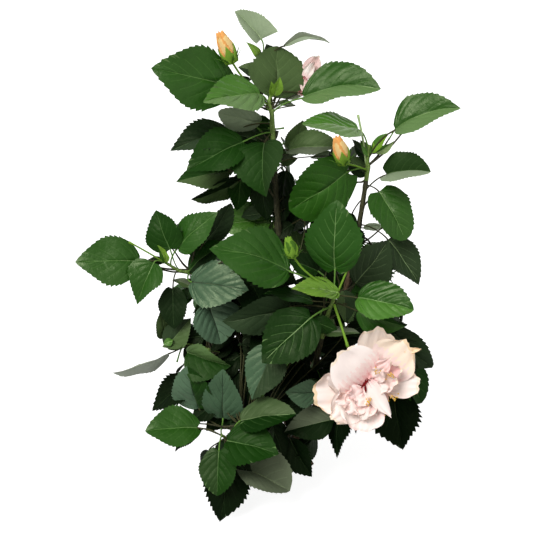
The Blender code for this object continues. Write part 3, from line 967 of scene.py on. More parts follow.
leftLeaves = [
    ((139, 261), (75, 262), (24, 24), (-4.2, -5.4), ("soft", "mid"), (165, 262), {"powers": (0.56, 0.96)}),
    ((154, 263), (137, 305), (14, 21), (-5.2, -6.6), ("soft", "mid"), (170, 266), {"powers": (0.36, 1.25)}),
    ((170, 249), (156, 210), (19, 17), (-4.0, -2.6), ("deep", "deep"), (180, 271),
     {"powers": (0.42, 0.98), "heart": 0.08}),
    ((178, 248), (218, 212), (17, 15), (-4.2, -5.0), ("mid", "soft"), (171, 266), {}),
    ((204, 243), (231, 203), (9, 13), (-2.6, -1.4), ("slate", "slate"), None, {"powers": (0.5, 0.7)}),
    ((163, 263), (147, 260), (3, 5), (-3.6, -3.4), ("dark", "dark"), (166, 263), {}),
    ((165, 261), (157, 245), (4, 4), (-4.1, -4.4), ("bright", "young"), (164, 262),
     {"ratio": 0.5, "fold": 26}),
    ((167, 262), (164, 250), (3, 3), (-4.0, -4.1), ("young", "young"), (166, 263),
     {"ratio": 0.45, "fold": 26}),
    ((190, 270), (223, 243), (13, 10), (-3.2, -3.4), ("deep", "dark"), None, {"powers": (0.5, 0.7)}),
    ((192, 282), (249, 290), (24, 23), (-5.2, -7.2), ("gloss", "gloss"), (190, 273),
     {"quilt": 2.5, "heart": 0.06}),
    ((173, 289), (174, 329), (14, 14), (-5.2, -6.2), ("dark", "dark"), (176, 274),
     {"powers": (0.42, 0.8), "heart": 0.08}),
    ((191, 286), (172, 280), (4, 4), (-4.2, -4.2), ("dusk", "stone"), (190, 275), {}),
    ((192, 287), (186, 300), (4, 5), (-4.6, -4.8), ("dark", "dark"), (190, 276), {}),
    ((207, 303), (221, 344), (27, 20), (-5.0, -6.4), ("glossPale", "glossPale"), None,
     {"quilt": 2.5, "powers": (0.5, 0.8)}),
]

lowLeaves = [
    ((163, 338), (161, 305), (8, 8), (-4.0, -4.6), ("dusk", "dusk"), (183, 343),
     {"shoot": "leftLow", "ratio": 0.5}),
    ((167, 347), (191, 318), (13, 13), (-5.4, -5.0), ("slate", "dusk"), None, {"shoot": "leftLow"}),
    ((184, 341), (162, 347), (6, 8), (-5.4, -5.8), ("dusk", "dusk"), (186, 343), {"shoot": "leftLow"}),
    ((172, 341), (163, 344), (4, 4), (-6.0, -6.3), ("bright", "bright"), (171, 340),
     {"shoot": "leftLow", "ratio": 0.6}),
    ((168, 354), (112, 373), (9, 1), (-5.4, -7.0), ("ashSheen", "ashSheen"), (193, 347), {"shoot": "leftLow"}),
    ((188, 352), (231, 366), (8, 27), (-5.6, -7.2), ("sheen", "deep"), (199, 347), {"shoot": "leftLow"}),
    ((199, 408), (187, 366), (22, 17), (-6.6, -7.6), ("glossPale", "deep"), None,
     {"powers": (0.5, 0.8), "fold": 12, "stalk": "petioleDark"}),
    ((223, 418), (223, 369), (20, 20), (-7.6, -8.6), ("gloss", "gloss"), (224, 432),
     {"powers": (0.45, 0.9)}),
    ((192, 380), (152, 411), (12, 16), (-4.8, -5.4), ("night", "night"), None, {"teeth": 2.0}),
    ((197, 428), (145, 431), (17, 22), (-12.2, -13.4), ("soft", "mid"), (222, 435),
     {"powers": (0.52, 0.88), "heart": 0.09}),
    ((201, 430), (175, 452), (4, 9), (-10.6, -11.4), ("night", "night"), (224, 435), {"teeth": 2.0}),
    ((219, 451), (217, 496), (18, 18), (-13.8, -15.6), ("deep", "moss"), (221, 437),
     {"heart": 0.10, "powers": (0.42, 0.75), "quilt": 2.0}),
    ((227, 441), (279, 454), (26, 21), (-12.4, -14.4), ("deep", "deep"), (224, 438), {"quilt": 2.0}),
    ((227, 458), (220, 522), (24, 20), (-11.8, -14.9), ("night", "night"), (225, 437), {"teeth": 1.8}),
    ((238, 466), (290, 491), (29, 13), (-11.0, -12.6), ("stone", "stone"), (228, 438),
     {"powers": (0.5, 0.62)}),
    ((241, 421), (296, 414), (19, 13), (-10.6, -12.4), ("olive", "veinedShade"), (231, 437),
     {"powers": (0.45, 0.8)}),
    # near-black leaves set into the deep inside of the crown, as painted shade
    ((238, 372), (207, 410), (14, 14), (-5.6, -6.2), ("night", "night"), None, {}),
    ((255, 374), (238, 412), (13, 13), (-5.8, -6.4), ("night", "dark"), None, {}),
    ((268, 420), (284, 460), (12, 12), (-8.6, -9.6), ("night", "night"), None, {}),
    ((224, 378), (197, 424), (13, 14), (-5.2, -6.2), ("night", "dark"), None, {}),
    ((264, 398), (226, 425), (11, 11), (-6.4, -7.6), ("night", "night"), None, {}),
    ((234, 328), (198, 352), (12, 12), (-3.2, -3.8), ("night", "dark"), None, {}),
    ((240, 356), (206, 384), (12, 13), (-4.4, -5.0), ("night", "night"), None, {}),
    ((302, 366), (276, 400), (12, 12), (-5.0, -5.6), ("night", "night"), None, {}),
    ((340, 314), (300, 301), (9, 11), (-5.4, -5.8), ("dark", "night"), None, {}),
    ((330, 262), (322, 296), (11, 11), (-4.4, -4.8), ("night", "dark"), None, {}),
    ((364, 326), (340, 336), (8, 8), (-4.2, -4.6), ("night", "night"), None, {}),
    ((320, 348), (367, 337), (11, 10), (-4.4, -4.8), ("night", "night"), None, {}),
    ((292, 224), (272, 240), (8, 8), (1.6, 1.0), ("night", "night"), None, {}),
    ((318, 271), (286, 258), (12, 12), (-7.2, -7.6), ("deep", "dark"), None, {}),
    ((232, 340), (208, 362), (9, 9), (-3.2, -3.8), ("night", "night"), None, {}),
    ((348, 300), (339, 332), (5, 10), (-4.8, -5.2), ("night", "night"), None, {}),
    ((260, 404), (296, 392), (12, 12), (-5.2, -5.6), ("night", "night"), None, {}),
    ((216, 404), (191, 422), (10, 10), (-6.6, -7.2), ("night", "night"), None, {"ratio": 0.8}),
    ((226, 409), (206, 431), (11, 10), (-6.6, -7.2), ("night", "night"), None, {"ratio": 0.8}),
    ((238, 418), (212, 427), (8, 9), (-6.4, -7.0), ("night", "night"), None, {}),
    ((262, 449), (292, 468), (10, 10), (-9.0, -9.6), ("night", "dark"), None, {}),
]

rightLowLeaves = [
    ((392, 352), (422, 403), (17, 13), (-5.0, -6.6), ("deep", "deep"), (386, 370),
     {"powers": (0.56, 0.60)}),
    ((394, 388), (403, 450), (21, 29), (-5.2, -7.6), ("night", "night"), (385, 372),
     {"teeth": 2.2, "powers": (0.55, 1.12)}),
    ((342, 406), (337, 459), (12, 12), (-7.2, -8.2), ("night", "night"), (334, 416),
     {"shoot": "frontRight", "teeth": 2.2, "powers": (0.50, 1.30)}),
    ((331, 420), (284, 432), (17, 16), (-7.4, -8.8), ("dark", "stone"), (331, 418),
     {"shoot": "frontRight"}),
    ((290, 438), (312, 477), (10, 18), (-7.8, -9.6), ("night", "night"), (322, 420),
     {"shoot": "frontRight", "teeth": 2.2}),
    ((357, 416), (356, 434), (3, 3), (-7.0, -7.2), ("deep", "dark"), None, {"shoot": "frontRight"}),
    ((362, 416), (363, 432), (4, 4), (-7.2, -7.4), ("bright", "dusk"), None, {"shoot": "frontRight"}),
]

leadingLeaves = {
    "leavesLeader": ("leader", leaderLeaves),
    "leavesRight": ("right", rightLeaves),
    "leavesCentre": ("centre", centreLeaves),
    "leavesLeft": ("left", leftLeaves),
    "leavesLow": ("frontLow", lowLeaves),
    "leavesRightLow": ("rightLow", rightLowLeaves),
}
usualRatio = 0.66          # a blade's width as a share of its length
# their stalks are brown, if an entry doesn't say otherwise
darkTones = ("night", "dark", "slate", "slateVeined", "dusk", "stone")
stalks = Pile("leafStalks")
leafPiles = {}


def placeLeading(pile, shoot, entry, dice):
    base2d, tip2d, reach, depth, tones, joint2d, own = entry
    base, tip = spot(base2d, depth[0] / 100), spot(tip2d, depth[1] / 100)
    along = tip - base
    length = along.length
    along = along / length
    middle = (base + tip) / 2
    toEye = (eye - middle).normalized()
    facing = (toEye - along * toEye.dot(along)).normalized()
    sideways = along.cross(facing)
    scale = onePixel * (1 + seenAt(middle)[2] / picture["distance"])
    left, right = reach[0] * scale, reach[1] * scale
    width = max(own.get("ratio", usualRatio) * length, (left + right) * 1.02)
    uneven = (right - left) / width
    if abs(uneven) > 0.03 and (left + right) / width > 0.90:
        width = (left + right) / 0.90
        uneven = (right - left) / width
    roll = math.acos(min(1, (left + right) / width))
    turnTo = (1 if sideways.z > 0 else -1) if abs(uneven) < 0.03 else (1 if uneven > 0 else -1)
    tanFold = max(0.10, min(0.85, abs(uneven) / max(math.sin(roll), 0.2)))
    roll *= turnTo
    flare = 0.35
    shape = {"fold": math.degrees(math.atan(tanFold / (1 - flare))), "flare": flare,
             "phase": dice.uniform(0, 6), "wave": dice.uniform(0.008, 0.018), "twist": dice.uniform(-8, 8)}
    shape.update({k: v for k, v in own.items() if k not in ("ratio", "shoot", "stalk")})
    face = facing * math.cos(roll) + sideways * math.sin(roll)
    points = addBlade(pile, base, tip, face, width, tones, shape)
    noteLeaf(points)
    path = shootPaths[own.get("shoot", shoot)]
    if joint2d is None:
        joint, way = nearestOnPath(path, base)
    else:
        joint, way = nearestInPicture(path, joint2d)
    thick = 0.00062 + 0.004 * length
    usual = dice.choice(["petioleGreen", "petioleGreen", "petioleDark"])
    finish = own.get("stalk", "petioleDark" if tones[0] in darkTones else usual)
    petiole(stalks, base, along, joint, way, thick, finish)


dice = random.Random(5)
for pileName, (shoot, entries) in leadingLeaves.items():
    pile = Pile(pileName)
    leafPiles[pileName] = pile
    for entry in entries:
        placeLeading(pile, shoot, entry, dice)
print("leading leaves placed")


# colours out of the throat, with how far each goes
petalBands = (("petalThroat", 0.22), ("petalRose", 0.45), ("petalPink", 0.7), ("petalBlush", 1.0),
              ("petalFaint", 1.4))
petalForm = {
    "thickness": 0.0003,
    "pleats": 0.0045,          # along the veins, as a share of the length
}


def petal(pile, base, tip, face, width, shape):
    # a fan-shaped petal, thin and crumpled, with its colour in bands from the throat out
    rows, cols = shape.get("fine", (16, 13))
    along = tip - base
    length = along.length
    along = along / length
    up = (face - along * face.dot(along)).normalized()
    across = along.cross(up)
    cup, side = shape.get("cup", 0.1), shape.get("side", 0.1)
    ruffle, phase = shape.get("ruffle", 0.05), shape.get("phase", 0.0)
    fan, blunt = shape.get("fan", 0.55), shape.get("blunt", 0.80)
    bend, crumple = shape.get("bend", 0.0), shape.get("crumple", 0.02)
    thick = petalForm["thickness"]
    grid, below = [], []
    for i in range(rows):
        u = (i + 0.02) / (rows - 1 + 0.02)
        rise = min(1, u / fan)
        spread = 0.07 + 0.93 * math.sin(rise * math.pi / 2) ** shape.get("open", 0.9)
        if u > fan:
            spread *= math.sqrt(max(0.0, 1 - ((u - fan) / (1.015 - fan)) ** 2 * blunt))
        for j in range(cols):
            v = -1 + 2 * j / (cols - 1)
            x = v * spread * width / 2
            frill = math.sin(6.5 * v + phase) * 0.024 + math.sin(15 * v + 2.3 * phase) * 0.010
            y = u * length * (1 - 0.13 * v * v * u + frill * u ** 3)
            z = cup * length * (u * u - u) * 2 + side * width * v * v * (0.3 + 0.7 * u)
            waves = math.sin(5.2 * v + phase * 1.7 + 2 * u) + 0.5 * math.sin(11 * v + phase)
            z += ruffle * length * u ** 2 * waves
            z += crumple * length * noise.noise(Vector((v * 2.6 + phase, u * 3.4, phase)))
            z += petalForm["pleats"] * length * math.sin(24 * v + 3 * math.sin(3 * u)) * (1 - 0.5 * u)
            x += bend * length * u * (1 - u) * 4
            place = base + across * x + along * y + up * z
            grid.append(place)
            below.append(place - up * thick)
    faces, kinds = [], []
    main, edge = shape.get("main", "petalCream"), shape.get("edge", shape.get("main", "petalCream"))
    blush = shape.get("blush", 0.22)
    rimRows = max(1, rows // 14)

    def band(i, j):
        streak = 0.11 * math.sin(j * 57 / cols + phase) + 0.06 * math.sin(j * 120 / cols + phase)
        u = i / (rows - 1) + streak * (1 - i / rows) * min(1, blush * 3)
        for name, share in petalBands:
            if u < blush * share:
                return name
        return edge if i > rows - 2 - rimRows else main
    total = rows * cols

    def lower(i, j):
        rim = i in (0, rows - 1) or j in (0, cols - 1)
        return i * cols + j if rim else total + i * cols + j
    for i in range(rows - 1):
        for j in range(cols - 1):
            faces.append((i * cols + j, i * cols + j + 1, (i + 1) * cols + j + 1, (i + 1) * cols + j))
            kinds.append(band(i, j))
            faces.append((lower(i, j), lower(i + 1, j), lower(i + 1, j + 1), lower(i, j + 1)))
            kinds.append("petalShade" if i > 4 else "petalBlush")
    used = sorted({n for f in faces for n in f})
    number = {n: k for k, n in enumerate(used)}
    both = grid + below
    points = [tuple(both[n]) for n in used]
    noteLeaf(np.array(points))
    rim = [n < total and (n // cols in (0, rows - 1) or n % cols in (0, cols - 1)) for n in used]
    pile.add(points, [tuple(number[n] for n in f) for f in faces], kinds, rim)


large = (32, 29)           # rows and columns of a large petal
# petals from the back to the front: base, tip, width across in pixels, depth (base, tip) in cm, own shape
bloomPetals = [
    ((373, 381), (379, 328), 37, (-11.4, -11.2),
     {"main": "petalShade", "edge": "petalPeach", "blush": 0.1, "fan": 0.72, "blunt": 0.40, "ruffle": 0.03,
      "fine": large}),
    ((374, 381), (409, 343), 46, (-11.8, -12.5),
     {"main": "petalPeach", "edge": "petalGold", "cup": 0.06, "side": 0.04, "fan": 0.6, "ruffle": 0.03,
      "blush": 0.42, "fine": large}),
    ((404, 352), (421, 349), 5, (-12.4, -13.0),
     {"main": "petalGold", "side": 0.4, "ruffle": 0.01, "blush": 0.0}),
    ((374, 383), (420, 384), 28, (-12.2, -13.4),
     {"main": "petalCream", "edge": "petalPeach", "fan": 0.72, "blunt": 0.4, "ruffle": 0.05, "blush": 0.28,
      "fine": large}),
    ((368, 388), (313, 397), 40, (-12.2, -13.8),
     {"main": "petalCream", "edge": "petalGold", "fan": 0.70, "blunt": 0.5, "blush": 0.35, "ruffle": 0.035,
      "fine": large}),
    ((368, 388), (327, 379), 27, (-12.0, -13.0), {"main": "petalCream", "blush": 0.35}),
    ((368, 391), (332, 420), 34, (-13.0, -15.0),
     {"main": "petalCream", "edge": "petalPeach", "ruffle": 0.06, "blush": 0.42, "fine": large}),
    ((369, 391), (358, 431), 42, (-13.4, -15.8),
     {"main": "petalCream", "edge": "petalFaint", "ruffle": 0.07, "fan": 0.65, "blunt": 0.6, "blush": 0.45,
      "fine": large}),
    ((375, 387), (386, 405), 14, (-12.9, -13.3), {"main": "petalPink", "edge": "petalBlush", "blush": 0.0}),
    ((370, 385), (339, 353), 50, (-13.2, -14.0),
     {"main": "petalCream", "edge": "petalPeach", "cup": -0.07, "side": -0.06, "fan": 0.44, "open": 0.6,
      "blunt": 0.78, "ruffle": 0.018, "blush": 0.34, "crumple": 0.03, "fine": large}),
    ((371, 380), (402, 369), 19, (-13.0, -13.8),
     {"main": "petalPink", "edge": "petalPeach", "ruffle": 0.05, "crumple": 0.14, "blush": 0.15}),
    ((370, 379), (391, 359), 15, (-13.0, -13.6),
     {"main": "petalBlush", "edge": "petalPeach", "ruffle": 0.05, "crumple": 0.12}),
    ((371, 384), (398, 381), 20, (-13.4, -14.4),
     {"main": "petalFaint", "edge": "petalPeach", "ruffle": 0.06, "crumple": 0.14, "blush": 0.3}),
    ((372, 380), (384, 370), 16, (-13.6, -14.6),
     {"main": "petalFaint", "ruffle": 0.07, "crumple": 0.16, "blush": 0.2}),
    ((371, 383), (388, 389), 18, (-13.7, -14.6),
     {"main": "petalFaint", "ruffle": 0.07, "crumple": 0.16, "blush": 0.2}),
    ((367, 390), (336, 402), 26, (-13.4, -15.0),
     {"main": "petalFaint", "edge": "petalCream", "ruffle": 0.07, "crumple": 0.14, "blush": 0.5,
      "fine": (22, 19)}),
    ((367, 392), (347, 413), 24, (-13.8, -15.6),
     {"main": "petalFaint", "edge": "petalBlush", "ruffle": 0.08, "crumple": 0.16, "blush": 0.5,
      "fine": (22, 19)}),
    ((369, 393), (362, 420), 22, (-13.9, -15.9),
     {"main": "petalCream", "ruffle": 0.08, "crumple": 0.16, "blush": 0.5, "fine": (22, 19)}),
    ((371, 393), (375, 415), 16, (-13.7, -15.4),
     {"main": "petalBlush", "edge": "petalCream", "ruffle": 0.07, "crumple": 0.14, "blush": 0.3}),
    ((365, 390), (349, 396), 17, (-14.0, -15.2),
     {"main": "petalBlush", "edge": "petalPink", "ruffle": 0.08, "crumple": 0.2, "blush": 0.2}),
    ((366, 391), (357, 406), 16, (-14.2, -15.4),
     {"main": "petalFaint", "edge": "petalPink", "ruffle": 0.08, "crumple": 0.2, "blush": 0.3}),
    ((366, 379), (391, 417), 17, (-14.5, -16.0),
     {"main": "petalCream", "ruffle": 0.02, "side": -0.30, "fan": 0.35, "open": 0.5, "blunt": 0.95,
      "bend": 0.03, "blush": 0.12, "fine": (22, 15)}),
    ((369, 379), (361, 388), 2.6, (-14.6, -14.9), {"main": "petalThroat", "ruffle": 0.0, "blush": 0.0}),
    ((365, 384), (366, 393), 2.2, (-14.7, -15.0), {"main": "petalThroat", "ruffle": 0.0, "blush": 0.0}),
    ((371, 374), (368, 380), 2.4, (-14.3, -14.6), {"main": "petalRose", "ruffle": 0.0, "blush": 0.0}),
]
fadedPetals = [
    ((303, 80), (319, 56), 17, (4.2, 4.0), {"main": "petalBlush", "edge": "petalShade", "blush": 0.2}),
    ((302, 82), (314, 62), 10, (3.9, 3.6),
     {"main": "petalCream", "edge": "petalBlush", "blush": 0.3, "ruffle": 0.09}),
    ((303, 78), (301, 96), 15, (4.2, 3.6),
     {"main": "petalRose", "edge": "petalBlush", "blush": 0.1, "ruffle": 0.09}),
    ((304, 76), (306, 94), 10, (3.9, 3.3),
     {"main": "petalBlush", "edge": "petalShade", "blush": 0.5, "ruffle": 0.1}),
]
# tufts of anthers: place, depth in cm, how many
antherSpots = [
    ((394, 398), -14.2, 15), ((381, 415), -14.2, 16), ((368, 402), -15.4, 12), ((392, 375), -14.6, 12),
    ((377, 370), -15.0, 6),
]


def growBloom(name, petals, seed):
    pile = Pile(name)
    own = random.Random(seed)
    for base2d, tip2d, width, depth, shape in petals:
        base, tip = spot(base2d, depth[0] / 100), spot(tip2d, depth[1] / 100)
        toEye = (eye - base).normalized()
        shape = dict(shape)
        shape["phase"] = own.uniform(0, 6)
        petal(pile, base, tip, toEye, width * onePixel, shape)
    return pile


def bead(pile, centre, radius, finish):
    points = [centre + Vector(p) * radius for p in
              ((1, 0, 0), (-1, 0, 0), (0, 1, 0), (0, -1, 0), (0, 0, 1), (0, 0, -1))]
    faces = [(0, 2, 4), (2, 1, 4), (1, 3, 4), (3, 0, 4), (2, 0, 5), (1, 2, 5), (3, 1, 5), (0, 3, 5)]
    pile.add([tuple(p) for p in points], faces, finish)


bloom = growBloom("bloomPetals", bloomPetals, 3)
faded = growBloom("fadedBloom", fadedPetals, 4)


def growAnthers():
    pile = Pile("bloomAnthers")
    own = random.Random(9)
    throat = spot((371, 386), -0.130)
    for place, depth, count in antherSpots:
        centre = spot(place, depth / 100)
        for k in range(count):
            head = centre + Vector([own.gauss(0, 0.0026), own.gauss(0, 0.0012), own.gauss(0, 0.0024)])
            foot = throat.lerp(centre, 0.7)
            path = smoothPath([foot, foot.lerp(head, 0.6) + Vector((0, 0, 0.001)), head], 3)
            tube(pile, path, [0.00032] * len(path), 5, "filament")
            bead(pile, head, 0.00105, "anther")
    return pile


anthers = growAnthers()


# the cup of a bud: how many sepals or bracts, their length as a share of the bud's, their half
# width as a share of its radius, how far they spread, and their finish
budCups = (
    (5, 0.62, 0.95, 0.06, "calyx"),
    (7, 0.34, 0.26, 0.55, "calyxDark"),
)


def budFatness(u):
    return math.sin(math.pi * min(1, 0.12 + 0.80 * u ** 0.85)) ** 0.62


def sepal(pile, base, along, out, length, radius, cup):
    # a narrow leaf that lies along the bud, with a thin rim
    count, reach, wide, tilt, finish = cup
    side = along.cross(out)
    rows = 9
    points, faces = [], []
    for i in range(rows):
        u = i / (rows - 1)
        away = radius * budFatness(u * reach) * 1.13 + tilt * radius * u * u * 1.4
        spine = base + along * (length * reach * u - 0.0008) + out * away
        half = wide * radius * (0.62 + 0.38 * math.sin(math.pi * min(1, u + 0.2))) * (1 - u) ** 0.7 + 0.0002
        for s in (-1, -0.5, 0, 0.5, 1):
            points.append(spine + side * half * s - out * half * abs(s) ** 2 * 0.42)
    inside = len(points)
    points += [p - out * 0.0004 for p in points]
    for i in range(rows - 1):
        for c in range(4):
            a = i * 5 + c
            faces.append((a, a + 5, a + 6, a + 1))
            faces.append((inside + a, inside + a + 1, inside + a + 6, inside + a + 5))
        faces.append((i * 5, inside + i * 5, inside + i * 5 + 5, i * 5 + 5))
        faces.append((i * 5 + 4, i * 5 + 9, inside + i * 5 + 9, inside + i * 5 + 4))
    for c in range(4):
        faces.append((c, c + 1, inside + c + 1, inside + c))
        e = (rows - 1) * 5 + c
        faces.append((e, inside + e, inside + e + 1, e + 1))
    pile.add([tuple(p) for p in points], faces, finish)


def bud(pile, base, tip, radius, colours, seed):
    # furled petals in a spiral, in a cup of five sepals with narrow bracts under it
    along = tip - base
    length = along.length
    along = along / length
    first = along.orthogonal().normalized()
    second = along.cross(first)
    rings, sides = 26, 40
    points, kinds = [], []
    for i in range(rings):
        u = i / (rings - 1)
        fat = budFatness(u)
        for j in range(sides):
            turn = 2 * math.pi * j / sides
            pleat = (5 * (turn / (2 * math.pi)) + 0.9 * u) % 1.0
            rough = 0.0006 * noise.noise(Vector((j, i * 0.6, seed)))
            out = radius * fat * (1 + 0.20 * pleat - 0.10) + rough
            lift = length * u + 0.05 * length * math.sin(5 * turn + seed) * max(0, u - 0.75) * 4
            points.append(base + along * lift + (first * math.cos(turn) + second * math.sin(turn)) * out)
            if i < rings - 1:
                pleat = (5 * (j / sides) + 0.9 * i / rings) % 1.0
                kinds.append(colours[0] if pleat > 0.7 or i > rings - 5 else colours[1])
    points = [tuple(p) for p in points + [base, tip]]
    kinds += [colours[1], colours[0]] * sides
    pile.add(points, ringFaces(rings, sides), kinds)
    noteLeaf(np.array(points))
    for ring, cup in enumerate(budCups):
        for n in range(cup[0]):
            turn = 2 * math.pi * (n + 0.5 * ring) / cup[0] + 0.3
            out = first * math.cos(turn) + second * math.sin(turn)
            sepal(pile, base, along, out, length, radius, cup)


buds = Pile("buds")
budPlaces = [
    # base, tip, depth (base, tip) in cm, radius, colours, stalk: places and depths
    ((232, 62), (220, 33), (0.4, 0.0), 0.0088, ("budOrange", "budCream"),
     [((240, 74), 1.2), ((252, 88), 1.4), ((268, 106), 1.9)]),
    ((344, 163), (337, 138), (-2.0, -2.8), 0.0086, ("budOrange", "budCream"),
     [((356, 166), -0.9), ((367, 170), 0.3)]),
    ((293, 256), (288, 238), (-11.4, -11.8), 0.0068, ("calyx", "calyxDark"),
     [((303, 269), -11.0), ((320, 283), -10.4), ((333, 293), -9.9)]),
]
for n, (base2d, tip2d, depth, radius, colours, stalk) in enumerate(budPlaces):
    base = spot(base2d, depth[0] / 100)
    bud(buds, base, spot(tip2d, depth[1] / 100), radius, colours, seed=n + 2)
    path = smoothPath([base] + [spot(p, d / 100) for p, d in stalk], 6)
    tube(stalks, path, [0.0013 - 0.0003 * i / len(path) for i in range(len(path))], 8, "calyx")

bareStalks = [
    # stalks that have dropped their bloom
    ([((358, 115), 0.2), ((363, 140), 0.3), ((366, 164), 0.4)], 0.0012, "pearlSheenStalk"),
    ([((354, 250), -9.6), ((347, 270), -9.6), ((338, 292), -9.7)], 0.0012, "calyx"),
    ([((129, 242), -4.8), ((147, 252), -4.4), ((164, 262), -4.0)], 0.0010, "calyx"),
    ([((284, 128), 1.6), ((276, 129), 1.8), ((268, 128), 1.9)], 0.0010, "petioleGreen"),
    ([((177, 362), -5.4), ((180, 352), -5.2), ((184, 343), -5.1)], 0.0009, "petioleGreen"),
    ([((348, 347), -12.0), ((341, 325), -10.8), ((334, 304), -9.8)], 0.0015, "calyx"),
    ([((306, 80), 5.8), ((297, 92), 4.6), ((274, 108), 2.6)], 0.0010, "petioleGreen"),
]
finishes["pearlSheenStalk"] = waxyFinish("pearlSheenStalk", (176, 200, 140), gloss=(0.42, 0.6))
for places, thick, finish in bareStalks:
    path = smoothPath([spot(p, d / 100) for p, d in places], 8)
    radii = [thick * (1 + 0.35 * math.exp(-(i / 1.2) ** 2)) for i in range(len(path))]
    tube(stalks, path, radii, 8, finish)
print("blossom grown")


# the leaves inside and round the back, grown by rule within the masses
masses = {
    # name: (limb that feeds it, share along it, centre, twigs, pile)
    "crown_top": ("leader_stem", 0.97, (-0.034, 0.020, 0.478), 5, "leavesLeader"),
    "crown_collar": ("leader_stem", 0.86, (-0.042, 0.008, 0.394), 6, "leavesLeader"),
    "crown_neck": ("leader_stem", 0.70, (-0.050, 0.012, 0.322), 6, "leavesLeader"),
    "right_crown": ("right_stem", 0.97, (0.082, 0.0, 0.400), 5, "leavesRight"),
    "right_middle": ("right_stem", 0.74, (0.088, 0.004, 0.302), 6, "leavesRight"),
    "centre_rosette": ("centre_stem", 0.96, (0.034, -0.098, 0.265), 6, "leavesCentre"),
    "left_rosette": ("left_stem", 0.96, (-0.150, -0.030, 0.285), 5, "leavesLeft"),
    "left_low": ("left_low_stem", 0.95, (-0.124, -0.046, 0.186), 5, "leavesLow"),
    "heart": ("leader_stem", 0.42, (-0.050, -0.046, 0.206), 9, "leavesInner"),
    "front_low": ("front_low_stem", 0.90, (-0.088, -0.112, 0.112), 6, "leavesLow"),
    "right_low": ("right_low_stem", 0.92, (0.096, -0.054, 0.172), 6, "leavesRightLow"),
    "front_right_low": ("front_right_stem", 0.92, (0.020, -0.060, 0.106), 6, "leavesRightLow"),
    "back_top": ("back_stem", 0.97, (0.012, 0.096, 0.292), 8, "leavesBack"),
    "back_left": ("back_left_stem", 0.95, (-0.088, 0.088, 0.212), 8, "leavesBackLow"),
    "back_right": ("back_right_stem", 0.95, (0.092, 0.092, 0.206), 8, "leavesBack"),
    "back_low": ("back_low_stem", 0.92, (-0.006, 0.112, 0.120), 7, "leavesBackLow"),
}
growth = {
    "nodes": (0.30, 0.48, 0.64, 0.80, 0.92, 1.0),   # where leaves stand along a twig
    "turn": 137.5,             # degrees from one leaf to the next
    "tries": 3,
    "longest": 0.090,
    "shortest": 0.036,
    "stalk": (0.010, 0.026),
    "apart": 0.013,            # between the middles of two leaves
    "apartBehind": 0.0205,
    "outside": 0.007,          # how far a leaf may stand out of its mass
    "spurs": 60,               # most leaves added for one way of looking
    "spurSlack": 0.014,
    "bloomRoom": 0.046,        # kept free round the middle of the open bloom
    "archRoom": 0.09,          # how far a blade stands off its line, as a share of its length
    "twigSteps": 24,           # pieces of the path of a twig
    "shrink": 0.84,            # a leaf that doesn't fit is tried again at this share of its length
    "spurShrink": 0.86,
    "spurTries": (24, 10),     # leaves tried in one block, from the front and from elsewhere
    "twig": (0.0017, 0.0008),  # radius at its foot, and how much less it is at its tip
    "spurTwig": (0.0015, 0.0006),
    "spurBare": 0.03,          # a spur longer than this starts as a twig
    "spurStalk": 0.022,        # and ends in a leaf's own stalk, this long
    "openTwig": 6,             # the most that inOpen may give for a twig, and for a spur
    "openSpur": 5,
    "overGround": 0.006,       # lowest point of a leaf
    "behindLeading": 0.006,    # room behind the leading leaves
    "darkFront": 0.045,        # leaves with a smaller y than this get dark tones, painted shade
    "spacingFront": 0.05,      # and with a smaller y than this, the spacing "apart"
    "deepInside": 0.030,       # leaves further inside a mass than this get dark tones as well, painted shade
}
# open sky between the shoots, as boxes on the picture: left, top, right, bottom
skyGaps = [
    (281, 124, 288, 141), (281, 152, 300, 168), (300, 154, 312, 164), (300, 164, 322, 164),
    (236, 206, 248, 218), (258, 206, 264, 220), (298, 211, 308, 220), (350, 201, 361, 214),
    (366, 206, 380, 222), (364, 231, 384, 238), (192, 188, 228, 201), (212, 173, 232, 178),
    (196, 192, 226, 206), (216, 230, 234, 240), (181, 250, 190, 266), (164, 268, 174, 287),
    (185, 299, 192, 318), (350, 309, 358, 320), (353, 287, 358, 306), (284, 108, 300, 124),
    (274, 108, 296, 127), (160, 150, 188, 170), (200, 110, 217, 118), (222, 124, 236, 132),
    (310, 40, 336, 58), (284, 50, 300, 56), (354, 90, 392, 130), (374, 140, 392, 152),
    (372, 160, 382, 182), (396, 274, 420, 296), (205, 430, 220, 448), (318, 434, 330, 452),
    (350, 432, 374, 470), (140, 262, 164, 270), (60, 180, 150, 232), (60, 284, 126, 352),
    (100, 380, 150, 420), (120, 320, 154, 352), (420, 120, 480, 300), (250, 492, 330, 533),
    (316, 458, 400, 533), (120, 456, 196, 533), (150, 184, 186, 206), (180, 318, 189, 336),
    (312, 446, 322, 470),
]
massShapes = {}            # the surface of each mass, with a box a little larger than it
for name in masses:
    mesh = frame["nodes"][name].data
    surface = BVHTree.FromPolygons([v.co[:] for v in mesh.vertices], [p.vertices[:] for p in mesh.polygons])
    corners = [Vector(c) + Vector((1, 1, 1)) * grow for c, grow in zip(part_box(name), (-0.01, 0.01))]
    massShapes[name] = (surface, corners)
for pileName in ("leavesInner", "leavesBack", "leavesBackLow"):
    leafPiles[pileName] = Pile(pileName)


def homeAt(point):
    # how deep the point lies inside the masses, below zero outside them, and in which
    best, home = -1.0, None
    for name, (surface, (low, high)) in massShapes.items():
        if not (low[0] < point.x < high[0] and low[1] < point.y < high[1] and low[2] < point.z < high[2]):
            continue
        where, normal, face, gap = surface.find_nearest(point)
        room = gap if (point - where).dot(normal) < 0 else -gap
        if room > best:
            best, home = room, name
    return best, home


leadingNearest = dict(front.nearest)
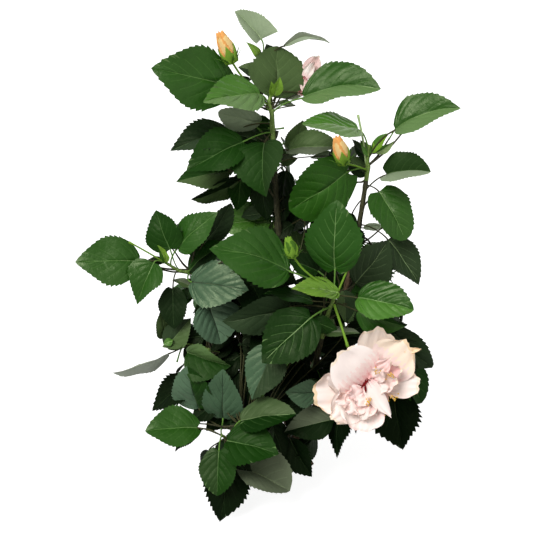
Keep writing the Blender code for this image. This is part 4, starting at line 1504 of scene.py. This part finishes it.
# the middle of the shrub on the picture: only here may the leaves grown by rule be seen from the front
innerCrown = [
    (238, 130), (262, 118), (276, 112), (300, 128), (330, 150), (318, 160), (300, 168), (299, 186),
    (296, 206), (312, 222), (345, 222), (360, 234), (372, 240), (392, 245), (404, 262), (402, 285),
    (404, 318), (418, 336), (428, 366), (424, 392), (408, 398), (402, 428), (388, 422), (372, 420),
    (352, 428), (338, 440), (320, 450), (312, 470), (296, 462), (284, 470), (262, 472), (240, 478),
    (232, 500), (212, 500), (208, 470), (190, 436), (174, 442), (162, 426), (160, 405), (166, 386),
    (184, 364), (188, 345), (191, 322), (190, 300), (193, 280), (194, 262), (204, 246), (220, 240),
    (234, 228), (232, 208), (222, 196), (200, 186), (226, 172),
]


def inSky(point):
    across, down, away = seenAt(point)
    return any(a < across < c and b < down < d for a, b, c, d in skyGaps)


def insideCrown(across, down):
    inside = False
    for (x0, y0), (x1, y1) in zip(innerCrown, innerCrown[1:] + innerCrown[:1]):
        if (y0 > down) != (y1 > down) and across < x0 + (down - y0) * (x1 - x0) / (y1 - y0):
            inside = not inside
    return inside


def allowed(point):
    # well behind the leading leaves, or in the open middle of the crown
    across, down, away = seenAt(point)
    a, b = cellAt(across, down)
    near = [leadingNearest.get((a + i, b + j), farAway) for i in (-1, 0, 1) for j in (-1, 0, 1)]
    if min(near) < farAway and away < min(near) + growth["behindLeading"]:
        return False
    return max(near) < farAway or (insideCrown(across, down) and not inSky(point))


def throughLeading(point):
    # in front of a leading leaf that should hide it
    across, down, away = seenAt(point)
    return away < leadingNearest.get(cellAt(across, down), -farAway)


def hiddenInFront(point):
    across, down, away = seenAt(point)
    return leadingNearest.get(cellAt(across, down), farAway) < away


openLines = {}             # how many stalks cross each cell of the picture that no leading leaf covers


def openCell(point):
    across, down, away = seenAt(point)
    return None if hiddenInFront(point) else cellAt(across, down, sight["lineCell"])


def inOpen(path):
    # how far the path, its first quarter left out, would be seen against the sky or beside other stalks
    outer = path[len(path) // 4:]
    cells = [openCell(p) for p in outer]
    return sum(not allowed(p) for p in outer) + 2 * sum(openLines.get(c, 0) for c in cells if c)


def noteLine(path):
    for cell in {openCell(p) for p in path}:       # hidden points share the cell None, which is never read
        openLines[cell] = openLines.get(cell, 0) + 1


bloomHeart = spot((364, 388), -0.130)
limbSpots = [(point, 0.0 if hiddenInFront(point) else 0.015)
             for point in (limbPoint(name, share / 20) for name in limbs for share in range(4, 21))]
# points tested on a blade: share of its length, and across as a share of its width
leafSamples = [
    (0.02, 0), (1, 0), (0.4, 0.5), (0.4, -0.5), (0.15, 0.38), (0.15, -0.38), (0.65, 0.40),
    (0.65, -0.40), (0.85, 0.20), (0.85, -0.20), (0.3, 0), (0.6, 0), (0.27, 0.47), (0.27, -0.47),
    (0.53, 0.47), (0.53, -0.47), (0.4, 0.25), (0.4, -0.25), (0.75, 0), (0.93, 0.1), (0.93, -0.1),
]


def fits(foot, tip, up, width, spots, slack):
    middle = foot.lerp(tip, 0.45)
    apart = growth["apart"] if middle.y < growth["spacingFront"] else growth["apartBehind"]
    if any((middle - other).length < apart for other in spots):
        return False
    side = (tip - foot).normalized().cross(up)
    samples = [foot.lerp(tip, u) + side * width * v for u, v in leafSamples]
    if min(p.z for p in samples) < growth["overGround"] or not all(allowed(p) for p in samples):
        return False
    # an arched blade stands up to this far off its line
    arched = up * (tip - foot).length * growth["archRoom"]
    if any(throughLeading(p + arched) or throughLeading(p - arched) for p in samples):
        return False
    if min((p - bloomHeart).length for p in samples) < growth["bloomRoom"]:
        return False
    outside = 0
    for p in samples[::2]:
        outside += homeAt(p)[0] < -slack
        if outside > 1:
            return False
    return True


def toneFor(middle, dice):
    # leaves at the front or deep inside a mass get dark greens as painted shade
    room, home = homeAt(middle)
    if middle.y < growth["darkFront"]:
        return dice.choice(["dark", "slate", "dark", "night", "dark", "deep", "slate"])
    if room > growth["deepInside"]:
        return dice.choice(["dark", "deep", "night"])
    return dice.choice(["mid", "mid", "deep", "soft", "mid", "deep", "bright"])


def addRuleLeaf(foot, tip, up, width, joint, ahead, dice, spots):
    middle = foot.lerp(tip, 0.45)
    spots.append(middle)
    tone = toneFor(middle, dice)
    home = homeAt(middle)[1] or homeAt(foot)[1] or "heart"
    shape = {"fold": dice.uniform(8, 26), "flare": 0.35, "arch": dice.uniform(0.03, 0.12),
             "phase": dice.uniform(0, 6), "wave": dice.uniform(0.008, 0.02),
             "twist": dice.uniform(-14, 14), "bend": dice.uniform(-0.05, 0.05)}
    noteLeaf(addBlade(leafPiles[masses[home][4]], foot, tip, up, width, (tone, tone), shape))
    usual = dice.choice(["petioleGreen", "petioleDark"])
    finish = "petioleDark" if tone in darkTones else usual
    petiole(stalks, foot, (tip - foot).normalized(), joint, ahead, 0.0008, finish)


def growAlong(path, centre, k, dice, spots):
    # leaves at the joints of one twig; gives back how far along the twig the last one stands
    last, steps = 0, growth["twigSteps"]
    for n, at in enumerate(growth["nodes"]):
        step = min(int(at * steps), steps)
        node = path[step]
        ahead = (path[min(step + 1, steps)] - path[max(step - 1, 0)]).normalized()
        first = ahead.orthogonal().normalized()
        for attempt in range(growth["tries"]):
            around = math.radians(growth["turn"] * (n + k) + 50 * attempt * dice.uniform(-1, 1))
            radial = first * math.cos(around) + ahead.cross(first) * math.sin(around)
            out = (radial + ahead * (0.35 + 0.5 * at) + (node - centre) * 9).normalized()
            foot = node + out * dice.uniform(*growth["stalk"])
            way = (out + Vector((0, 0, dice.uniform(-0.50, -0.12)))).normalized()
            if homeAt(foot)[0] < -0.004 or not allowed(foot):
                continue
            flat = Vector((way.x, way.y, 0))
            stray = Vector([dice.uniform(-0.3, 0.3) for i in range(3)])
            face = Vector((0, 0, 1)) * 0.75 + flat * 0.55 + stray
            up = (face - way * face.dot(way)).normalized()
            length = growth["longest"] * dice.uniform(0.8, 1.0)
            share = dice.uniform(0.62, 0.72)
            while length > growth["shortest"]:
                if fits(foot, foot + way * length, up, length * share, spots, growth["outside"]):
                    break
                length *= growth["shrink"]
            if length > growth["shortest"]:
                addRuleLeaf(foot, foot + way * length, up, length * share, node, ahead, dice, spots)
                last = max(last, step)
                break
    return last


def growMasses(twigs, spots):
    dice = random.Random(21)
    for name, (limb, share, centre, twigCount, pileName) in masses.items():
        centre = Vector(centre)
        surface = massShapes[name][0]
        for k in range(twigCount + 6):
            height = 1 - 2 * (k + 0.5) / (twigCount + 6)
            turn = math.radians(growth["turn"] * k + dice.uniform(-20, 20))
            flat = math.sqrt(1 - height * height)
            way = Vector((flat * math.cos(turn), flat * math.sin(turn), height)).normalized()
            hit = surface.ray_cast(centre, way)
            end = centre + way * (hit[3] if hit[0] is not None else 0.03) * 0.55
            start = limbPoint(limb, max(0.25, share - 0.30 * ((k * 0.37) % 1.0)))
            if not allowed(end) or (end - start).length < 0.012:
                continue
            bend = start.lerp(end, 0.45) + Vector((0, 0, 0.008))
            path = smoothPath([start, bend, end], growth["twigSteps"] // 2)
            if inOpen(path) > growth["openTwig"]:
                continue
            last = growAlong(path, centre, k, dice, spots)
            if last:
                last = min(last + 1, growth["twigSteps"])
                noteLine(path[:last + 1])
                thick, less = growth["twig"]
                radii = [thick - less * i / last for i in range(last + 1)]
                tube(twigs, path[:last + 1], radii, 6, "ripeStem", wobble=0.05)
    print("grown along twigs:", len(spots))


def growSpurs(outlook, twigs, spots, dice):
    # one leaf on a short spur wherever this way of looking still sees through the crown
    blocks = outlook.blocks()
    dice.shuffle(blocks)
    made = 0
    for block in blocks:
        if made >= growth["spurs"]:
            break
        if not outlook.isOpen(block):
            continue
        inside = [p for p in outlook.pointsThrough(block) if homeAt(p)[0] > -0.008 and allowed(p)]
        if not inside:
            continue
        for attempt in range(growth["spurTries"][0 if outlook is front else 1]):
            place = dice.choice(inside) if outlook is front else inside[min(attempt // 3, len(inside) - 1)]
            look = (place - eye).normalized() if outlook is front else outlook.look
            joint = min(limbSpots, key=lambda item: (item[0] - place).length + item[1])[0]
            out = place - joint
            out = out - look * out.dot(look) * 0.8 + Vector([dice.uniform(-0.02, 0.02) for i in range(3)])
            way = (out.normalized() + Vector((0, 0, dice.uniform(-0.7, 0.1)))).normalized()
            face = -look + Vector((0, 0, 0.4)) + Vector([dice.uniform(-0.4, 0.4) for i in range(3)])
            up = (face - way * face.dot(way)).normalized()
            length = growth["longest"] * dice.uniform(0.75, 1.0)
            share = dice.uniform(0.62, 0.74)
            while length > growth["shortest"]:
                foot, tip = place - way * length * 0.45, place + way * length * 0.55
                if fits(foot, tip, up, length * share, spots, growth["spurSlack"]):
                    break
                length *= growth["spurShrink"]
            if length <= growth["shortest"]:
                continue
            gap = (foot - joint).length
            line = [joint.lerp(foot, i / 12) for i in range(13)]
            if inOpen(line) > growth["openSpur"]:
                continue
            noteLine(line)
            ahead = (foot - joint).normalized()
            node = joint
            if gap > growth["spurBare"]:        # a twig for most of the way, then the leaf's own stalk
                node = joint.lerp(foot, 1 - growth["spurStalk"] / gap)
                path = smoothPath([joint, joint.lerp(node, 0.5) + Vector((0, 0, -0.05 * gap)), node], 5)
                thick, less = growth["spurTwig"]
                tube(twigs, path, [thick - less * i / 10 for i in range(11)], 6, "ripeStem")
            addRuleLeaf(foot, tip, up, length * share, node, ahead, dice, spots)
            made += 1
            break
    print("spurs seen from", "the front" if outlook is front else outlook.azimuth, made)


twigs = Pile("twigs")
spots = []
growMasses(twigs, spots)
spurDice = random.Random(33)
for outlook in outlooks:
    growSpurs(outlook, twigs, spots, spurDice)


def settle(pile, slotName, *nodes):
    # a joined piece on its body, with the solids that it stands for
    piece = pile.build()
    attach(piece, "root")
    if nodes:
        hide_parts(*nodes)
    return piece


settle(wood, "bark", "trunk", *limbs)
settle(twigs, "young_bark")
settle(stalks, "young_bark")
settle(leafPiles["leavesLeader"], "leaves", "crown_top", "crown_collar", "crown_neck")
settle(leafPiles["leavesRight"], "leaves", "right_crown", "right_middle")
settle(leafPiles["leavesCentre"], "leaves", "centre_rosette")
settle(leafPiles["leavesLeft"], "leaves", "left_rosette")
settle(leafPiles["leavesLow"], "leaves", "left_low", "front_low")
settle(leafPiles["leavesRightLow"], "leaves", "right_low", "front_right_low")
settle(leafPiles["leavesInner"], "leaves", "heart")
settle(leafPiles["leavesBack"], "leaves", "back_top", "back_right")
settle(leafPiles["leavesBackLow"], "leaves", "back_left", "back_low")
settle(bloom, None)
settle(faded, None)
settle(anthers, None)
settle(buds, None)


studio = {
    "floor": (182, 182, 181),
    "floorGlow": 0.84,                                      # for the camera only, so it lights no leaf
    "floorCorners": [(-8, -6, 0), (8, -6, 0), (8, 12, 0), (-8, 12, 0)],
    "sky": 0.36,                                            # light from all round
    "key": {"from": (-0.55, -0.75, 0.95), "spread": 34, "power": 2.6},
    "fill": {"from": (0.9, -0.9, 0.35), "spread": 60, "power": 0.35},
    "back": {"from": (0.5, 1.0, 0.35), "spread": 70, "power": 1.1},
}


def buildFloor():
    finish = newFinish("studioFloor", {"Base Color": linear(studio["floor"]), "Roughness": 0.9,
                                       "Specular IOR Level": 0.0, "Emission Strength": studio["floorGlow"]})
    nodes, links = finish.node_tree.nodes, finish.node_tree.links
    shader = nodes["Principled BSDF"]
    ray = addNode(nodes, "LightPath")
    glow = addColourMix(nodes)
    setInputs(glow, {"A": (0, 0, 0, 1), "B": (1, 1, 1, 1)})
    wire(links, (ray, "Is Camera Ray", glow, "Factor"), (glow, "Result", shader, "Emission Color"))
    mesh = bpy.data.meshes.new("studioFloor")
    mesh.from_pydata(studio["floorCorners"], [], [(0, 1, 2, 3)])
    mesh.materials.append(finish)
    floor = bpy.data.objects.new("studioFloor", mesh)
    bpy.context.scene.collection.objects.link(floor)


def buildLight(name):
    own = studio[name]
    lamp = bpy.data.lights.new(name + "Light", "SUN")
    lamp.angle = math.radians(own["spread"])
    lamp.energy = own["power"]
    holder = bpy.data.objects.new(name + "Light", lamp)
    holder.rotation_euler = Vector(own["from"]).to_track_quat("Z", "Y").to_euler()
    bpy.context.scene.collection.objects.link(holder)


def buildSky():
    world = bpy.data.worlds.new("studioSky")
    world.use_nodes = True
    nodes, links = world.node_tree.nodes, world.node_tree.links
    dome = nodes["Background"]
    setInputs(dome, {"Color": (1, 1, 1, 1), "Strength": studio["sky"]})
    seen = addNode(nodes, "Background", {"Color": (1, 1, 1, 1)})
    pick = addNode(nodes, "MixShader")
    ray = addNode(nodes, "LightPath")
    wire(links, (ray, "Is Camera Ray", pick, "Fac"), (dome, "Background", pick, 1),
         (seen, "Background", pick, 2), (pick, "Shader", nodes["World Output"], "Surface"))
    bpy.context.scene.world = world


buildFloor()
for name in ("key", "fill", "back"):
    buildLight(name)
buildSky()

lens = bpy.data.cameras.new("camera")
lens.lens = picture["lens"]
lens.sensor_width = picture["sensor"]
camera = bpy.data.objects.new("camera", lens)
camera.location = eye
camera.rotation_euler = (aim - eye).to_track_quat("-Z", "Y").to_euler()
bpy.context.scene.collection.objects.link(camera)
bpy.context.scene.camera = camera
bpy.context.scene.view_settings.view_transform = "Standard"
print("studio set")

bpy.context.view_layer.update()
